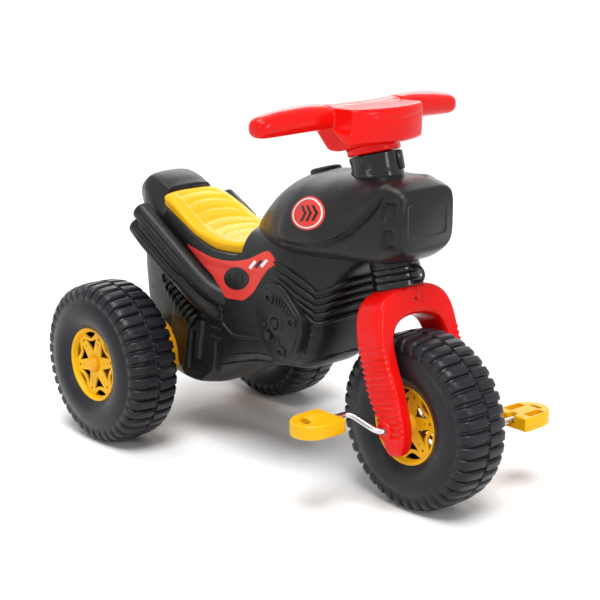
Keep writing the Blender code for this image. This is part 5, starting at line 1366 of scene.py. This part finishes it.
FIELD = [(-0.1772, 0.2964), (-0.1457, 0.2915), (-0.1167, 0.2878), (-0.0889, 0.2880), (-0.0621, 0.2914),
         (-0.0395, 0.2970), (-0.0113, 0.3061), (0.0004, 0.3150), (0.0150, 0.3205), (0.0283, 0.3139),
         (0.0345, 0.3052), (0.0160, 0.2941), (0.0027, 0.2785), (-0.0146, 0.2552), (-0.0371, 0.2389),
         (-0.0770, 0.2343), (-0.0907, 0.2408), (-0.1067, 0.2603), (-0.1432, 0.2767), (-0.1686, 0.2901)]
red, white, black = [], [], []
for name, side in SIDES:
    disc, outer, inner = [[on_disc(*p) for p in round_points(r, count=72)] for r in (1.0, 0.90, 0.82)]
    red.append(film(disc, side, FIRST_LAYER))
    white.append(film(outer, side, SECOND_LAYER, inner))
    for k in range(3):
        u = -0.42 + 0.34 * k
        for end in (-0.46, 0.46):
            bar = [(u, end), (u + 0.17, end), (u + 0.42, 0.0), (u + 0.25, 0.0)]
            black.append(film(dense([on_disc(*p) for p in bar]), side, SECOND_LAYER))
    field = dense(softened(FIELD, 0.006, 4, True), 0.003)
    red.append(film(field, side, FIRST_LAYER))
    for k in range(3):
        x = -0.020 + 0.0125 * k
        bar = [(x - 0.004, 0.2900 + 0.0035 * k), (x + 0.001, 0.2880 + 0.0035 * k),
               (x + 0.012, 0.3000 + 0.0035 * k), (x + 0.007, 0.3020 + 0.0030 * k)]
        (white if k != 1 else black).append(film(dense(bar, 0.0015), side, SECOND_LAYER))
    badge = [(BADGE_X + x, BADGE_Z + z + BADGE_SLOPE * x) for x, z in
             [(0.0290 * math.cos(a), 0.0165 * math.sin(a)) for a in circle(60)]]
    black.append(film(badge, side, BADGE_LAYER, dome=0.0016))
    for k in range(3):
        x = -0.0677 + 0.0150 * k
        line = [on_side(x, z + BADGE_SLOPE * (x - BADGE_X), side, 0.0024)
                for z in (0.2620, 0.2650, BADGE_Z, 0.2714, 0.2744)]
        black.append(strip("badge_bar", line, pointed(line, 0.0013, 0.4, 1), 10, FILM_BLACK))
for name, films, material, slot in (("film_red", red, FILM_RED, "red_plastic"),
                                    ("film_white", white, FILM_WHITE, "nylon"),
                                    ("film_black", black, FILM_BLACK, "black_plastic")):
    piece(name, joined(name, films, 40.0), material, slot, "frame_body")


# Studio: a pale floor that keeps the shadow, four soft lamps and a broad sun. The backdrop is white to
# camera, glossy and transmission rays, and lights the object with less than a third of that.
FAR = 20.0
floor = bpy.data.objects.new("floor", bpy.data.meshes.new("floor"))
floor.data.from_pydata([(x, y, 0.0) for x, y in oblong(-FAR, FAR, -FAR, FAR)], [], [(0, 1, 2, 3)])
scene.collection.objects.link(floor)
ground = Look("floor_paint")
speck = ground.noise(40.0, 2.0)
paint = ground.blend(ground.spread(speck, 0.0, 1.0), rgb(0.94, 0.94, 0.94), rgb(0.96, 0.96, 0.96))
floor.data.materials.append(ground.finish(Base_Color=paint, Roughness=0.9))


def lamp(name, place, target, size, power):
    light = bpy.data.lights.new(name, "AREA")
    light.shape = "RECTANGLE"
    light.size, light.size_y = size
    light.energy = power
    item = bpy.data.objects.new(name, light)
    item.location = place
    item.rotation_euler = (Vector(target) - Vector(place)).to_track_quat("-Z", "Y").to_euler()
    scene.collection.objects.link(item)


lamp("top_light", (-0.5, -0.2, 2.0), (0.0, 0.0, 0.2), (0.65, 0.65), 12.0)
lamp("front_light", (2.2, 0.3, 1.0), (0.1, 0.0, 0.25), (0.14, 0.9), 9.0)
lamp("back_light", (-1.5, 1.4, 1.35), (0.0, 0.0, 0.3), (2.2, 0.7), 14.0)
lamp("side_light", (0.3, -2.3, 0.9), (-0.05, 0.0, 0.2), (1.0, 0.14), 6.0)
day = bpy.data.lights.new("daylight", "SUN")
day.energy = 2.6
day.angle = math.radians(30.0)
daylight = bpy.data.objects.new("daylight", day)
daylight.rotation_euler = Vector((-0.35, 0.30, -1.0)).to_track_quat("-Z", "Y").to_euler()
scene.collection.objects.link(daylight)

world = bpy.data.worlds.new("white_backdrop")
scene.world = world
world.use_nodes = True
nodes, links = world.node_tree.nodes, world.node_tree.links
choice = nodes.new("ShaderNodeMixShader")
papers = (nodes["Background"], 0.30), (nodes.new("ShaderNodeBackground"), 1.0)
for number, (paper, strength) in enumerate(papers):
    paper.inputs["Color"].default_value = rgb(1.0, 1.0, 1.0)
    paper.inputs["Strength"].default_value = strength
    links.new(paper.outputs[0], choice.inputs[number + 1])
ray = nodes.new("ShaderNodeLightPath")
seen = ray.outputs["Is Camera Ray"]
for kind in ("Is Glossy Ray", "Is Transmission Ray"):
    either = nodes.new("ShaderNodeMath")
    either.operation = "MAXIMUM"
    links.new(seen, either.inputs[0])
    links.new(ray.outputs[kind], either.inputs[1])
    seen = either.outputs[0]
links.new(seen, choice.inputs[0])
links.new(choice.outputs[0], nodes["World Output"].inputs["Surface"])

turn, rise, far = math.radians(48.71), math.radians(15.21), 2.2188
back = Vector((math.sin(turn) * math.cos(rise), -math.cos(turn) * math.cos(rise), math.sin(rise)))
lens = bpy.data.cameras.new("camera")
lens.lens = 93.36
camera = bpy.data.objects.new("camera", lens)
camera.location = Vector((-0.0025, 0.0, 0.2334)) + back * far
camera.rotation_euler = back.to_track_quat("Z", "Y").to_euler()
scene.collection.objects.link(camera)
scene.camera = camera
scene.view_settings.view_transform = "Standard"
